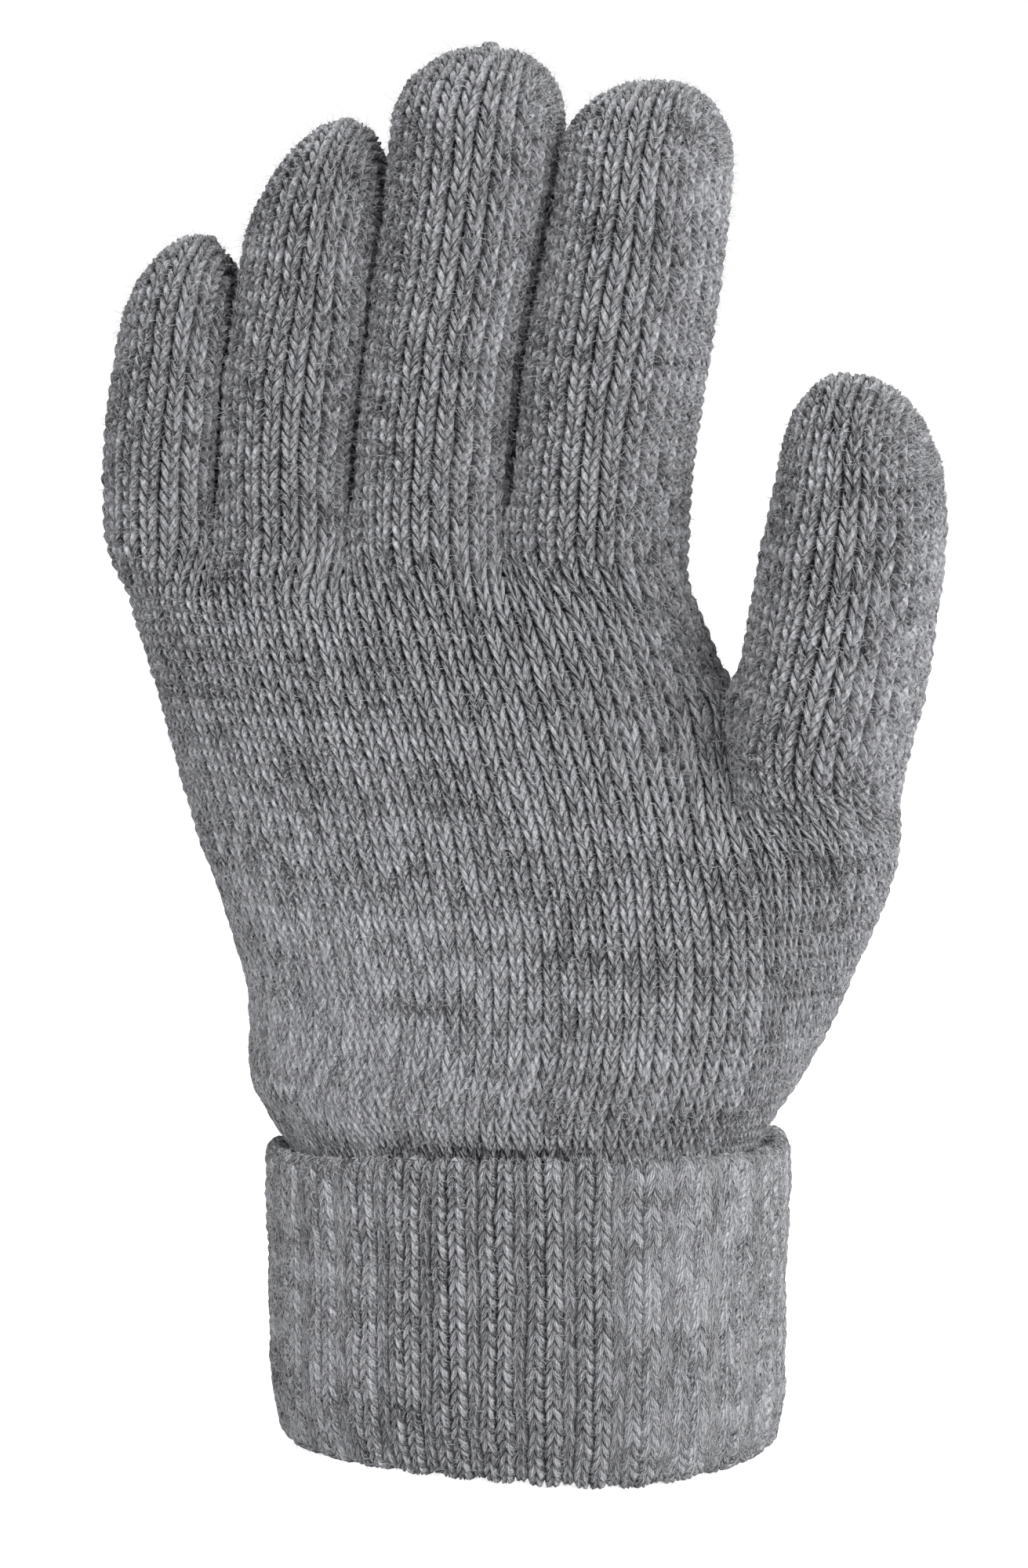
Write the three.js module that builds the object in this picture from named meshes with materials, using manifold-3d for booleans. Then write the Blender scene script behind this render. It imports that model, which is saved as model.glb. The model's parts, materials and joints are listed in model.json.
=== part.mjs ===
// A knitted glove with a turned-up ribbed cuff, standing on the fold of its cuff.
// Millimetres. +Z runs up from the wrist opening to the fingertips, the palm faces -Y and
// the thumb is on the +X side. The origin is the centre of the wrist opening, on the floor.
import * as THREE from 'three';
import { mergeVertices } from 'three/addons/utils/BufferGeometryUtils.js';
import Module from 'manifold-3d';

const wasm = await Module();
wasm.setup();

// ---- Driving dimensions -------------------------------------------------------------
const WALL = 3.0; // thickness of the knit
const GAP = 0.3; // clearance between pieces that meet
const FOLD_HALF = 1.6; // half the length of a knit fold on its unfolding side
const FINGER_SIDES = 16;
const PALM_SIDES = 32;
// How square each section is: 2 is an ellipse.
const DIGIT_POWER = 2.2;
const PALM_POWER = 2.4;
const CUFF_POWER = 2.15;

const CUFF = { sides: 28, halfWidth: 47.8, halfDepth: 27, height: 60.5, foldHeight: 2.4, weltHeight: 4.5, weltProud: 1.2 };
const SLEEVE_TOP = 63;
const WRIST = { z: 65, bend: 25, halfWidth: 46.5, halfDepth: 23, centreX: -2 };

// Palm sections from the wrist up: height, centre in X, half width, half depth.
const PALM = [
  { z: 80, x: -4, halfWidth: 49.5, halfDepth: 22.5 },
  { z: 95, x: -6.5, halfWidth: 51.5, halfDepth: 22.5 },
  { z: 115, x: -11, halfWidth: 53, halfDepth: 22 },
  { z: 137, x: -17.6, halfWidth: 53.5, halfDepth: 20.5 },
  { z: 153, x: -23.5, halfWidth: 54, halfDepth: 18 },
];
const PALM_TOP = { z: 169, slopeDegrees: 30, x: -25.2, halfWidth: 53.8, halfDepth: 15.6 };

// Finger centre lines: knuckle, middle joint, tip joint and fingertip, with the half width
// and half depth at each joint.
const FINGERS = {
  little: {
    path: [[-67.6, 0, 167.5], [-65.9, -1, 187], [-62.9, -3, 203], [-58.1, -6.5, 217.5]],
    half: [[10.6, 12], [10.5, 11.8], [10, 11.3]],
  },
  ring: {
    path: [[-43.7, 0, 171], [-40.9, -1.5, 199], [-36.7, -4.5, 218.5], [-30.4, -9, 237.7]],
    half: [[12, 14], [11.9, 13.6], [11.6, 13]],
  },
  middle: {
    path: [[-16.8, 0, 172], [-13.1, -1.5, 203.5], [-8.4, -5, 226], [-2.6, -10, 249]],
    half: [[13.3, 15], [13.3, 14.6], [13.1, 14]],
  },
  index: {
    path: [[13, 0, 172], [17.1, -1.5, 201], [21.3, -4.5, 222], [26.2, -9, 243]],
    half: [[14.8, 15.4], [14.8, 15], [14.4, 14.4]],
  },
};
const FINGER_BENDS = [50, 55, 33]; // knuckle, middle joint, tip joint, in degrees
const THUMB = {
  path: [[57.2, -10.6, 143], [61.4, -12.8, 166], [64.4, -16.4, 194]],
  half: [[16, 16.4], [14.8, 15]],
};
const THUMB_BENDS = [35, 45];
const THUMB_SWING = [-0.35, -0.94, 0]; // the way the thumb folds, over the palm
const FINGER_SWING = [0, -1, 0];
// The swelling below the thumb: centre and half width of each section, from the wrist up.
const GUSSET = [
  { centre: [40, -2, 73], half: 12.5 },
  { centre: [44, -4.5, 95], half: 15.5 },
  { centre: [50, -7.8, 110], half: 17 },
  { centre: [54, -9.4, 127], half: 16.6 },
];
const HOLLOW_DROP = 12; // how far the palm's hollow is cut on past its lower rim
const HOLLOW_RISE = 9; // how far the gusset's hollow is cut on into the thumb
const WRIST_ROOM = { outside: 2, inside: 1 }; // what the wrist's room clears, either side of the knit
const SLEEVE_GAP = 0.5; // between the turn-up and the sleeve inside it
const ROOM_HEIGHT = 60; // clearance kept above the root of each digit and below the wrist
const PASSAGE = 16; // reach of a finger's way through the palm, either side of its knuckle
const KNOT = { long: 1.9, short: 1.5, side: 0.3 }; // the drawn-through end of yarn at a fingertip

// ---- Materials ----------------------------------------------------------------------
const wool = (name, color) => new THREE.MeshStandardMaterial({ name, color, roughness: 0.95, metalness: 0 });
const HAND_WOOL = wool('hand_knit', '#76777b');
const RIB_WOOL = wool('cuff_rib', '#7b7c7f');
const FOLD_WOOL = wool('knit_fold', '#6c6d71');
const KNOT_WOOL = wool('closing_yarn', '#727377');

// ---- Geometry helpers ---------------------------------------------------------------
const vector = (p) => new THREE.Vector3(...p);
const glove = new THREE.Group();

// Turns a geometry into a welded one with no flat triangles and its faces pointing out.
function weld(geometry) {
  geometry.deleteAttribute('normal');
  geometry.deleteAttribute('uv');
  const welded = mergeVertices(geometry, 1e-4);
  const position = welded.getAttribute('position');
  const corner = (i) => new THREE.Vector3().fromBufferAttribute(position, i);
  const kept = [];
  let volume = 0;
  for (let i = 0; i < welded.index.count; i += 3) {
    const [a, b, c] = [0, 1, 2].map((k) => welded.index.getX(i + k));
    if (a === b || b === c || c === a) continue;
    kept.push([a, b, c]);
    volume += corner(a).dot(corner(b).cross(corner(c)));
  }
  welded.setIndex(kept.flatMap(([a, b, c]) => (volume > 0 ? [a, b, c] : [a, c, b])));
  return welded;
}

// A lathe turned from a profile of {row, radius} stations, then each station is moved to
// where place(angle, station) says.
function turned(sides, stations, place) {
  const profile = stations.map(({ radius }, k) => new THREE.Vector2(radius, k));
  const geometry = new THREE.LatheGeometry(profile, sides);
  const position = geometry.getAttribute('position');
  for (let i = 0; i < position.count; i += 1) {
    const angle = (2 * Math.PI * (Math.floor(i / stations.length) % sides)) / sides;
    const point = place(angle, stations[i % stations.length]);
    position.setXYZ(i, point.x, point.y, point.z);
  }
  return weld(geometry);
}

// Stations of a tube open at both ends: up the outside and back down the inside.
function tubeStations(rows) {
  const outside = rows.map((row) => ({ row, radius: 2, inset: 0 }));
  const inside = rows.map((row) => ({ row, radius: 1, inset: WALL })).reverse();
  return [...outside, ...inside, outside[0]];
}

// Stations of a solid with a flat end at its first and last row.
function solidStations(rows) {
  const side = rows.map((row) => ({ row, radius: 1, inset: 0 }));
  const first = { row: rows[0], radius: 0, inset: 0 };
  const last = { row: rows[rows.length - 1], radius: 0, inset: 0 };
  return [first, ...side, last];
}

// An oval standing on its end: squarer than an ellipse where power is above 2.
function oval(angle, halfWidth, halfDepth, power = 2) {
  const bend = (value) => Math.sign(value) * Math.abs(value) ** (2 / power);
  return new THREE.Vector3(halfWidth * bend(Math.cos(angle)), halfDepth * bend(Math.sin(angle)), 0);
}

function add(name, geometry, material) {
  const mesh = new THREE.Mesh(geometry, material);
  mesh.name = name;
  glove.add(mesh);
}

// ---- Booleans -----------------------------------------------------------------------
function toSolid(geometry) {
  return new wasm.Manifold(new wasm.Mesh({
    numProp: 3,
    vertProperties: new Float32Array(geometry.getAttribute('position').array),
    triVerts: new Uint32Array(geometry.index.array),
  }));
}

function toGeometry(solid) {
  const mesh = solid.getMesh();
  const geometry = new THREE.BufferGeometry();
  geometry.setAttribute('position', new THREE.BufferAttribute(new Float32Array(mesh.vertProperties), 3));
  geometry.setIndex(new THREE.BufferAttribute(new Uint32Array(mesh.triVerts), 1));
  return geometry;
}

// ---- Digits -------------------------------------------------------------------------
// A joint of a digit: its centre, the digit's direction there, the side to side axis that
// it bends about, and how far its fold reaches along the digit on the bending side.
function digitJoint(path, k, half, swing, bend) {
  const here = vector(path[k]);
  const before = vector(path[Math.max(k - 1, 0)]);
  const after = vector(path[k + 1]);
  const along = after.clone().sub(before).normalize();
  const hinge = along.clone().cross(vector(swing)).normalize();
  const back = along.clone().cross(hinge).normalize();
  return { here, along, hinge, back, half, slope: Math.tan(THREE.MathUtils.degToRad(bend / 2)) };
}

// A point on a joint's section. side is -1 for the rim below the fold and +1 above it.
function rimPoint(joint, angle, inset, side, clearance) {
  const section = oval(angle, joint.half[0] - inset, joint.half[1] - inset, DIGIT_POWER);
  const outer = oval(angle, joint.half[0], joint.half[1], DIGIT_POWER);
  const reach = FOLD_HALF + clearance + Math.max(0, -outer.y) * joint.slope;
  return joint.here.clone()
    .addScaledVector(joint.hinge, section.x)
    .addScaledVector(joint.back, section.y)
    .addScaledVector(joint.along, side * reach);
}

// The knit between two joints.
function stall(lower, upper) {
  return turned(FINGER_SIDES, tubeStations([0, 1]), (angle, { row, inset }) =>
    (row === 0 ? rimPoint(lower, angle, inset, 1, 0) : rimPoint(upper, angle, inset, -1, 0)));
}

// The short ring of knit that folds at a joint.
function fold(joint) {
  return turned(FINGER_SIDES, tubeStations([-1, 1]), (angle, { row, inset }) =>
    rimPoint(joint, angle, inset, row, -2 * GAP));
}

// The closed end of a digit: straight at first, then a dome.
const DOME_ROWS = [0.34, 0.62, 0.86];
const DOME_POWER = 2.6;
const DOME_CLOSED = 0.98; // keeps a little width at the last row
const domeWidth = (row) => Math.sqrt(1 - (row * DOME_CLOSED) ** DOME_POWER);
function fingertip(joint, tip) {
  const outside = DOME_ROWS.map((row) => ({ row, radius: 1, inset: 0 }));
  const inside = DOME_ROWS.map((row) => ({ row, radius: 1, inset: WALL })).reverse();
  const stations = [
    { row: 1, radius: 0, inset: WALL }, ...inside, { row: 0, radius: 1, inset: WALL },
    { row: 0, radius: 2, inset: 0 }, ...outside, { row: 1, radius: 0, inset: 0 },
  ];
  return turned(FINGER_SIDES, stations, (angle, { row, radius, inset }) => {
    if (row === 0) return rimPoint(joint, angle, inset, 1, 0);
    const top = vector(tip).addScaledVector(joint.along, -inset);
    if (radius === 0) return top;
    const width = domeWidth(row);
    const section = oval(angle, (joint.half[0] - inset) * width, (joint.half[1] - inset) * width, DIGIT_POWER);
    const foot = rimPoint(joint, angle, inset, 1, 0).sub(joint.here).dot(joint.along);
    const height = THREE.MathUtils.lerp(foot, top.clone().sub(joint.here).dot(joint.along), row);
    const centre = joint.here.clone().lerp(top, height / top.distanceTo(joint.here));
    return centre.addScaledVector(joint.hinge, section.x).addScaledVector(joint.back, section.y);
  });
}

// The drawn-through yarn end beside the crown of a fingertip.
function knot(joint, tip) {
  const geometry = new THREE.SphereGeometry(1, 8, 6);
  geometry.scale(KNOT.long, KNOT.short, KNOT.short);
  const lastRow = DOME_ROWS[DOME_ROWS.length - 1];
  const fall = (1 - lastRow) * vector(tip).distanceTo(joint.here) * (KNOT.side / domeWidth(lastRow));
  const place = vector(tip)
    .addScaledVector(joint.hinge, joint.half[0] * KNOT.side)
    .addScaledVector(joint.along, KNOT.short + 3 * GAP - fall);
  geometry.translate(place.x, place.y, place.z);
  return weld(geometry);
}

function digit(name, { path, half }, swing, bends, parts) {
  const joints = half.map((size, k) => digitJoint(path, k, size, swing, bends[k]));
  const tip = path[path.length - 1];
  joints.forEach((joint, k) => {
    const last = k === joints.length - 1;
    add(`${name}_${parts[k].fold}`, fold(joint), FOLD_WOOL);
    add(`${name}_${parts[k].stall}`, last ? fingertip(joint, tip) : stall(joint, joints[k + 1]), HAND_WOOL);
  });
  add(`${name}_closing_knot`, knot(joints[joints.length - 1], tip), KNOT_WOOL);
  return joints[0];
}

const FINGER_PARTS = [
  { fold: 'knuckle_fold', stall: 'lower_stall' },
  { fold: 'middle_fold', stall: 'middle_stall' },
  { fold: 'tip_fold', stall: 'fingertip' },
];
const THUMB_PARTS = [
  { fold: 'base_fold', stall: 'lower_stall' },
  { fold: 'tip_fold', stall: 'thumbtip' },
];
const fingerRoots = Object.entries(FINGERS).map(([name, finger]) =>
  digit(name, finger, FINGER_SWING, FINGER_BENDS, FINGER_PARTS));
const thumbRoot = digit('thumb', THUMB, THUMB_SWING, THUMB_BENDS, THUMB_PARTS);

// ---- Palm ---------------------------------------------------------------------------
// Outline of the palm, or of its hollow where inset is the knit's thickness.
function palmBody(inset, bottomDrop, topDrop) {
  const topSlope = Math.tan(THREE.MathUtils.degToRad(PALM_TOP.slopeDegrees));
  const wristRow = { x: WRIST.centreX, halfWidth: WRIST.halfWidth, halfDepth: WRIST.halfDepth, wrist: true };
  const topRow = { ...PALM_TOP, top: true };
  const rows = [wristRow, ...PALM, topRow];
  return turned(PALM_SIDES, solidStations(rows), (angle, { row, radius }) => {
    const full = oval(angle, row.halfWidth, row.halfDepth, PALM_POWER);
    const section = oval(angle, row.halfWidth - inset, row.halfDepth - inset, PALM_POWER).multiplyScalar(radius);
    const height = row.wrist
      ? WRIST.z - bottomDrop
      : row.top ? row.z - FOLD_HALF - Math.max(0, -full.y * radius) * topSlope - topDrop : row.z;
    return new THREE.Vector3(row.x + section.x, section.y, height);
  });
}

// The swelling that leads from the palm into the thumb.
function gussetBody(inset, overshoot) {
  const rows = [...GUSSET, 'top'];
  return turned(FINGER_SIDES, solidStations(rows), (angle, { row, radius }) => {
    if (row === 'top') {
      const rim = rimPoint(thumbRoot, angle, inset, -1, 0).addScaledVector(thumbRoot.along, overshoot);
      return radius === 0 ? thumbRoot.here.clone().addScaledVector(thumbRoot.along, overshoot - FOLD_HALF - 2) : rim;
    }
    const section = oval(angle, row.half - inset, row.half - inset, DIGIT_POWER).multiplyScalar(radius);
    return vector(row.centre).add(section);
  });
}

// The way a finger passes through the top of the palm.
function fingerPassage(root) {
  const rows = [-PASSAGE, PASSAGE];
  return turned(FINGER_SIDES, solidStations(rows), (angle, { row, radius }) => {
    const section = oval(angle, root.half[0] - WALL, root.half[1] - WALL, DIGIT_POWER).multiplyScalar(radius);
    return root.here.clone()
      .addScaledVector(root.hinge, section.x)
      .addScaledVector(root.back, section.y)
      .addScaledVector(root.along, row);
  });
}

// The room that the folding base of a digit needs above the palm.
function digitRoom(root, height) {
  const stations = [
    { row: 0, radius: 0 }, { row: 0, radius: 1, inset: WALL + GAP }, { row: 0, radius: 2, inset: -2 * GAP },
    { row: height, radius: 2, inset: -2 * GAP }, { row: height, radius: 0 },
  ];
  return turned(FINGER_SIDES, stations, (angle, { row, radius, inset }) => {
    if (radius === 0) return root.here.clone().addScaledVector(root.along, row - FOLD_HALF);
    return rimPoint(root, angle, inset, -1, 0).addScaledVector(root.along, row);
  });
}

// The height of the palm's lower rim, which rises to the front and back so the wrist can bend.
function wristRim(angle) {
  const slope = Math.tan(THREE.MathUtils.degToRad(WRIST.bend));
  return WRIST.z + FOLD_HALF + Math.abs(oval(angle, WRIST.halfWidth, WRIST.halfDepth, PALM_POWER).y) * slope;
}

// The room that the bending wrist needs below the palm.
function wristRoom() {
  const stations = [
    { drop: ROOM_HEIGHT, radius: 0 },
    { drop: ROOM_HEIGHT, radius: 2, inset: -WRIST_ROOM.outside },
    { drop: 0, radius: 2, inset: -WRIST_ROOM.outside },
    { drop: 0, radius: 1, inset: WALL + WRIST_ROOM.inside },
    { drop: 0, radius: 0 },
  ];
  return turned(PALM_SIDES, stations, (angle, { drop, radius, inset }) => {
    if (radius === 0) return new THREE.Vector3(WRIST.centreX, 0, WRIST.z - drop);
    const section = oval(angle, WRIST.halfWidth - inset, WRIST.halfDepth - inset, PALM_POWER);
    return new THREE.Vector3(WRIST.centreX + section.x, section.y, wristRim(angle) - drop);
  });
}

function palmShell() {
  const outside = toSolid(palmBody(0, 0, 0)).add(toSolid(gussetBody(0, 0)));
  const hollow = toSolid(palmBody(WALL, HOLLOW_DROP, WALL)).add(toSolid(gussetBody(WALL, HOLLOW_RISE)));
  const passages = fingerRoots.map((root) => toSolid(fingerPassage(root)));
  const rooms = [...fingerRoots, thumbRoot].map((root) => toSolid(digitRoom(root, ROOM_HEIGHT)));
  const cuts = [hollow, ...passages, ...rooms, toSolid(wristRoom())];
  return toGeometry(cuts.reduce((solid, cut) => solid.subtract(cut), outside));
}
add('palm_shell', palmShell(), HAND_WOOL);

// ---- Wrist and cuff -----------------------------------------------------------------
// A ring of the cuff between two heights, with the outer surface inset from the cuff's.
function cuffRing(name, bottom, top, inset, thickness, material) {
  const stations = tubeStations([bottom, top]).map((s) => ({ ...s, inset: s.inset === 0 ? inset : inset + thickness }));
  add(name, turned(CUFF.sides, stations, (angle, { row, inset: depth }) =>
    oval(angle, CUFF.halfWidth - depth, CUFF.halfDepth - depth, CUFF_POWER).setZ(row)), material);
}
const turnUpTop = CUFF.height - CUFF.weltHeight;
const sleeveInset = WALL + SLEEVE_GAP;
cuffRing('cuff_fold', 0, CUFF.foldHeight, 0, sleeveInset + WALL, RIB_WOOL);
cuffRing('cuff_turn_up', CUFF.foldHeight + GAP, turnUpTop - GAP, 0, WALL, RIB_WOOL);
cuffRing('cuff_welt', turnUpTop, CUFF.height, -CUFF.weltProud, WALL + CUFF.weltProud, RIB_WOOL);
cuffRing('cuff_sleeve', CUFF.foldHeight + GAP, SLEEVE_TOP, sleeveInset, WALL, RIB_WOOL);

// The knit that flexes between the sleeve and the palm.
function wristFold() {
  return turned(PALM_SIDES, tubeStations([0, 1]), (angle, { row, inset }) => {
    const section = oval(angle, WRIST.halfWidth - inset, WRIST.halfDepth - inset, PALM_POWER);
    const sleeve = oval(angle, CUFF.halfWidth - sleeveInset - inset, CUFF.halfDepth - sleeveInset - inset, CUFF_POWER);
    const top = new THREE.Vector3(WRIST.centreX, 0, wristRim(angle) - 2 * GAP);
    return row === 0 ? sleeve.setZ(SLEEVE_TOP + GAP) : section.add(top);
  });
}
add('wrist_fold', wristFold(), FOLD_WOOL);

export default glove;
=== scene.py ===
"""A filled-out knitted wool glove with a turned-up ribbed cuff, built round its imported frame.

Lengths in the shape functions are millimetres; they become metres where a mesh is made.
The knit is laid out in wales (columns of stitches, counted round a tube) and courses
(rows of stitches, counted up from the wrist), so that every stitch has its own place.
"""

import json
import math

import bpy
import numpy as np
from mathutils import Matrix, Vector


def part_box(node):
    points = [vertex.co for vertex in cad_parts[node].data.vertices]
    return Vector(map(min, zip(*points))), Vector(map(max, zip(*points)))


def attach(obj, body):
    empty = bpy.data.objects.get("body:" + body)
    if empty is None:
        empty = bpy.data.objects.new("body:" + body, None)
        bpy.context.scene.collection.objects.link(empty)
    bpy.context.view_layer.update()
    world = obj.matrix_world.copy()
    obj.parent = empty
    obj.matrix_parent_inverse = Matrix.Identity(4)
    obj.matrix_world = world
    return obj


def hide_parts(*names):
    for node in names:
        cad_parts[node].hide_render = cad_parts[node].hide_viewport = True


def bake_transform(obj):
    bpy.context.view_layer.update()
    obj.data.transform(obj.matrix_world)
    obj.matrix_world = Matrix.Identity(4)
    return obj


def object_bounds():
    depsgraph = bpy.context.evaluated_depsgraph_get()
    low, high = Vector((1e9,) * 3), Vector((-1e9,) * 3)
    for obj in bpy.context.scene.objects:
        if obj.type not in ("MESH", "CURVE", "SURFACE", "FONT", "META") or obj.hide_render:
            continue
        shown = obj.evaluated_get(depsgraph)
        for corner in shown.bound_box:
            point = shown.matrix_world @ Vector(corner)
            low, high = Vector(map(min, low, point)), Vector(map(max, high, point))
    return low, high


bl_info = {
    "name": "Knitted glove",
    "version": (1, 0, 0),
    "blender": (4, 5, 0),
    "location": "View3D > Sidebar > Glove",
    "description": "Builds the stitches, the ribbed cuff and the fuzz of a wool glove",
    "category": "Mesh",
}

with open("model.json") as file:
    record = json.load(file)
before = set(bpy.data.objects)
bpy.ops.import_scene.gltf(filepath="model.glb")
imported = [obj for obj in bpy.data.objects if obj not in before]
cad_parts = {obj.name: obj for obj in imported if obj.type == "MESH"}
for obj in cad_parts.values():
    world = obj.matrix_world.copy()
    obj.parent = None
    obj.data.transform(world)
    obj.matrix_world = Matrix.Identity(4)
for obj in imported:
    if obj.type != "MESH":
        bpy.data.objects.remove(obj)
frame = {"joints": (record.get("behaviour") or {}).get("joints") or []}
CAD_BOX = [list(corner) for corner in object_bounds()]

MM = 0.001
HINGE = {j["name"]: np.array(j["pos_m"]) / MM for j in frame["joints"]}


def node_box(node):
    """The lowest and highest corner of a frame node, in millimetres."""
    low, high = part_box(node)
    return np.array(low) / MM, np.array(high) / MM


# Wales and courses ---------------------------------------------------------------------

SIDE = 3  # wales down each narrow side of a tube
FRONT = {"little": 7, "ring": 9, "middle": 10, "index": 10, "thumb": 10}
FINGERS = ("little", "ring", "middle", "index")
PALM_FRONT = sum(FRONT[name] for name in FINGERS)
HAND_FRONT = PALM_FRONT + FRONT["thumb"]
PALM_RING = 2 * PALM_FRONT + 2 * SIDE
HAND_RING = 2 * HAND_FRONT + 2 * SIDE
HALF_SIDE = SIDE / 2
FIRST_WALE = {"little": 0, "ring": 7, "middle": 16, "index": 26}

WRIST_Z = 51.3  # where the hand's first course starts, inside the cuff
FINGER_CROTCH = 164.5
HAND_COURSES = 46
LIFT_COURSE = 29  # where the courses begin to follow the finger crotches
COURSE = (FINGER_CROTCH - WRIST_Z) / HAND_COURSES
THUMB_COURSE = 34
WRIST_COURSE = 10
THUMB_CROTCH = WRIST_Z + THUMB_COURSE * COURSE

# Tubes: half width and half depth at the first hinge, the next hinge and the crown.
TUBE = {
    "little": {"wide": (12.2, 12.2, 11.4), "deep": (12.4, 12.0, 11.4), "crown": 18.0},
    "ring": {"wide": (13.9, 14.0, 13.0), "deep": (14.3, 13.8, 13.2), "crown": 23.0},
    "middle": {"wide": (15.0, 15.2, 15.0), "deep": (15.0, 14.8, 14.0), "crown": 14.0},
    "index": {"wide": (15.2, 15.4, 14.6), "deep": (15.4, 15.0, 14.4), "crown": 13.0},
    "thumb": {"wide": (15.4, 14.8, 13.6), "deep": (16.4, 15.4, 14.4), "crown": 16.0},
}
CROWN_POWER = {"little": 2.0, "ring": 2.1, "middle": 2.9, "index": 2.7, "thumb": 2.4}
CROWN_PULL = 0.24
CROWN_EDGE = 0.985  # keeps the crown from standing upright at its two ends
CROWN_TILT = {"little": 0.0, "ring": 0.36, "middle": 0.1, "index": 0.08, "thumb": -0.22}

# The hand's outline, from the wrist up: height, left edge, right edge, half depth, and how
# far the thumb's side stands forward.
HAND_LEVELS = (51.0, 60.0, 66.0, 72.0, 80.0, 95.0, 110.0, 125.0, 140.0, 155.0, 168.0)
HAND_LEFT = (-43.0, -49.0, -52.0, -52.3, -52.5, -56.6, -62.0, -66.4, -70.8, -75.8, -78.4)
HAND_RIGHT = (41.0, 42.6, 45.8, 50.2, 54.4, 61.4, 67.2, 69.4, 71.0, 72.0, 73.0)
HAND_DEEP = (21.0, 22.2, 23.4, 23.4, 23.0, 22.6, 22.4, 21.6, 20.4, 18.4, 16.8)
GUSSET_FORWARD = (0.0, 0.0, -0.6, -2.0, -3.0, -4.6, -7.4, -9.2, -10.4, -10.6, -10.6)
PALM_LEVELS = (110.0, 125.0, 136.0, 145.0, 155.0, 168.0)
PALM_LEFT = (-62.0, -66.4, -69.6, -72.8, -75.8, -78.4)
PALM_RIGHT = (42.6, 39.0, 36.2, 33.4, 30.0, 27.8)
GUSSET_WIDE = 62.0  # how much of the width, from the right, can stand forward
GUSSET_EASE = 48.0
SECTION_POWER = 2.3
# Width of the thumb's wales at each of the hand's levels, as a share of the others.
THUMB_WALE_WEIGHT = (0.38, 0.38, 0.40, 0.44, 0.50, 0.62, 0.78, 0.92, 1.0, 1.0, 1.0)

THUMB_PART_START = 112.0
FINGER_PART_START = 152.0
CROTCH_LIFT = (-4.0, -3.0, 0.0, 2.0, 2.0)  # of the courses, at the edges and the crotches
WEB_DECAY = 9.0
WEB_REACH = 1.5
WEB_STAND = 1.0  # how far the finger webs hold fully above the crotch
WEB_FORWARD = 2.0
CONTACT_SOFT = 0.7
CONTACT_ABOVE = 6  # two fingers touch to this height over the start of the lower crown
CONTACT_CLEAR = 4
CONTACT_EASE = 10
FINGER_GAP = 0.45


def smooth(t):
    """A 0 to 1 ramp with level ends."""
    t = np.clip(t, 0.0, 1.0)
    return t * t * (3.0 - 2.0 * t)


def mix(a, b, t):
    """The value between a and b at t."""
    return a + (b - a) * t


def through(levels, values, z):
    """A smooth curve through values given at levels."""
    levels, values = np.asarray(levels, float), np.asarray(values, float)
    slope = np.gradient(values, levels)
    z = np.clip(z, levels[0], levels[-1])
    i = np.clip(np.searchsorted(levels, z) - 1, 0, len(levels) - 2)
    step = levels[i + 1] - levels[i]
    t = (z - levels[i]) / step
    t2, t3 = t * t, t * t * t
    ends = (2 * t3 - 3 * t2 + 1) * values[i] + (3 * t2 - 2 * t3) * values[i + 1]
    turns = (t3 - 2 * t2 + t) * slope[i] + (t3 - t2) * slope[i + 1]
    return ends + turns * step


def value_noise(seed, *axes):
    """Smooth noise in -1..1 over any number of coordinate arrays, the same on every run."""
    axes = np.broadcast_arrays(*axes)
    base = [np.floor(a).astype(np.int64) for a in axes]
    part = [smooth(a - b) for a, b in zip(axes, base)]
    total = 0.0
    for corner in range(2 ** len(axes)):
        weight = 1.0
        code = np.full(axes[0].shape, seed * 7919 + 17, np.int64)
        for k in range(len(axes)):
            bit = corner >> k & 1
            weight = weight * (part[k] if bit else 1.0 - part[k])
            code = (code * 31337 + (base[k] + bit) * 92821) & 0x7FFFFFFF
            code = (code ^ (code >> 13)) * 1274126177 & 0x7FFFFFFF
        total = total + weight * ((code & 0xFFFFF) / 0xFFFFF * 2.0 - 1.0)
    return total


# The filled-out hand -------------------------------------------------------------------

TABLE_STEP = 1.0
TABLE_WALES = 4  # samples to a wale in the section tables


def section(left, right, deep, forward):
    """One closed section, from its left end round the front, with the length run so far."""
    turn = np.linspace(math.pi, 3 * math.pi, 1441)
    c, s = np.cos(turn), np.sin(turn)
    half = (right - left) / 2
    x = (left + right) / 2 + half * np.sign(c) * np.abs(c) ** (2 / SECTION_POWER)
    y = deep * np.sign(s) * np.abs(s) ** (2 / SECTION_POWER)
    y = y + forward * smooth((x - (right - GUSSET_WIDE)) / GUSSET_EASE)
    run = np.concatenate([[0.0], np.cumsum(np.hypot(np.diff(x), np.diff(y)))])
    return x, y, run / run[-1]


def section_table(levels, rows, wales, weights=None):
    """Points on a stack of sections, at even steps of z and of wales round the ring."""
    steps = np.arange(levels[0], levels[-1] + TABLE_STEP / 2, TABLE_STEP)
    count = wales * TABLE_WALES
    table = np.zeros((len(steps), count + 1, 3))
    values = [through(levels, row, steps) for row in rows]
    for k, z in enumerate(steps):
        x, y, run = section(*(v[k] for v in values))
        share = np.ones(count) if weights is None else weights(z, count)
        place = np.concatenate([[0.0], np.cumsum(share)])
        place /= place[-1]
        table[k, :, 0] = np.interp(place, run, x)
        table[k, :, 1] = np.interp(place, run, y)
        table[k, :, 2] = z
    return levels[0], table


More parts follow.
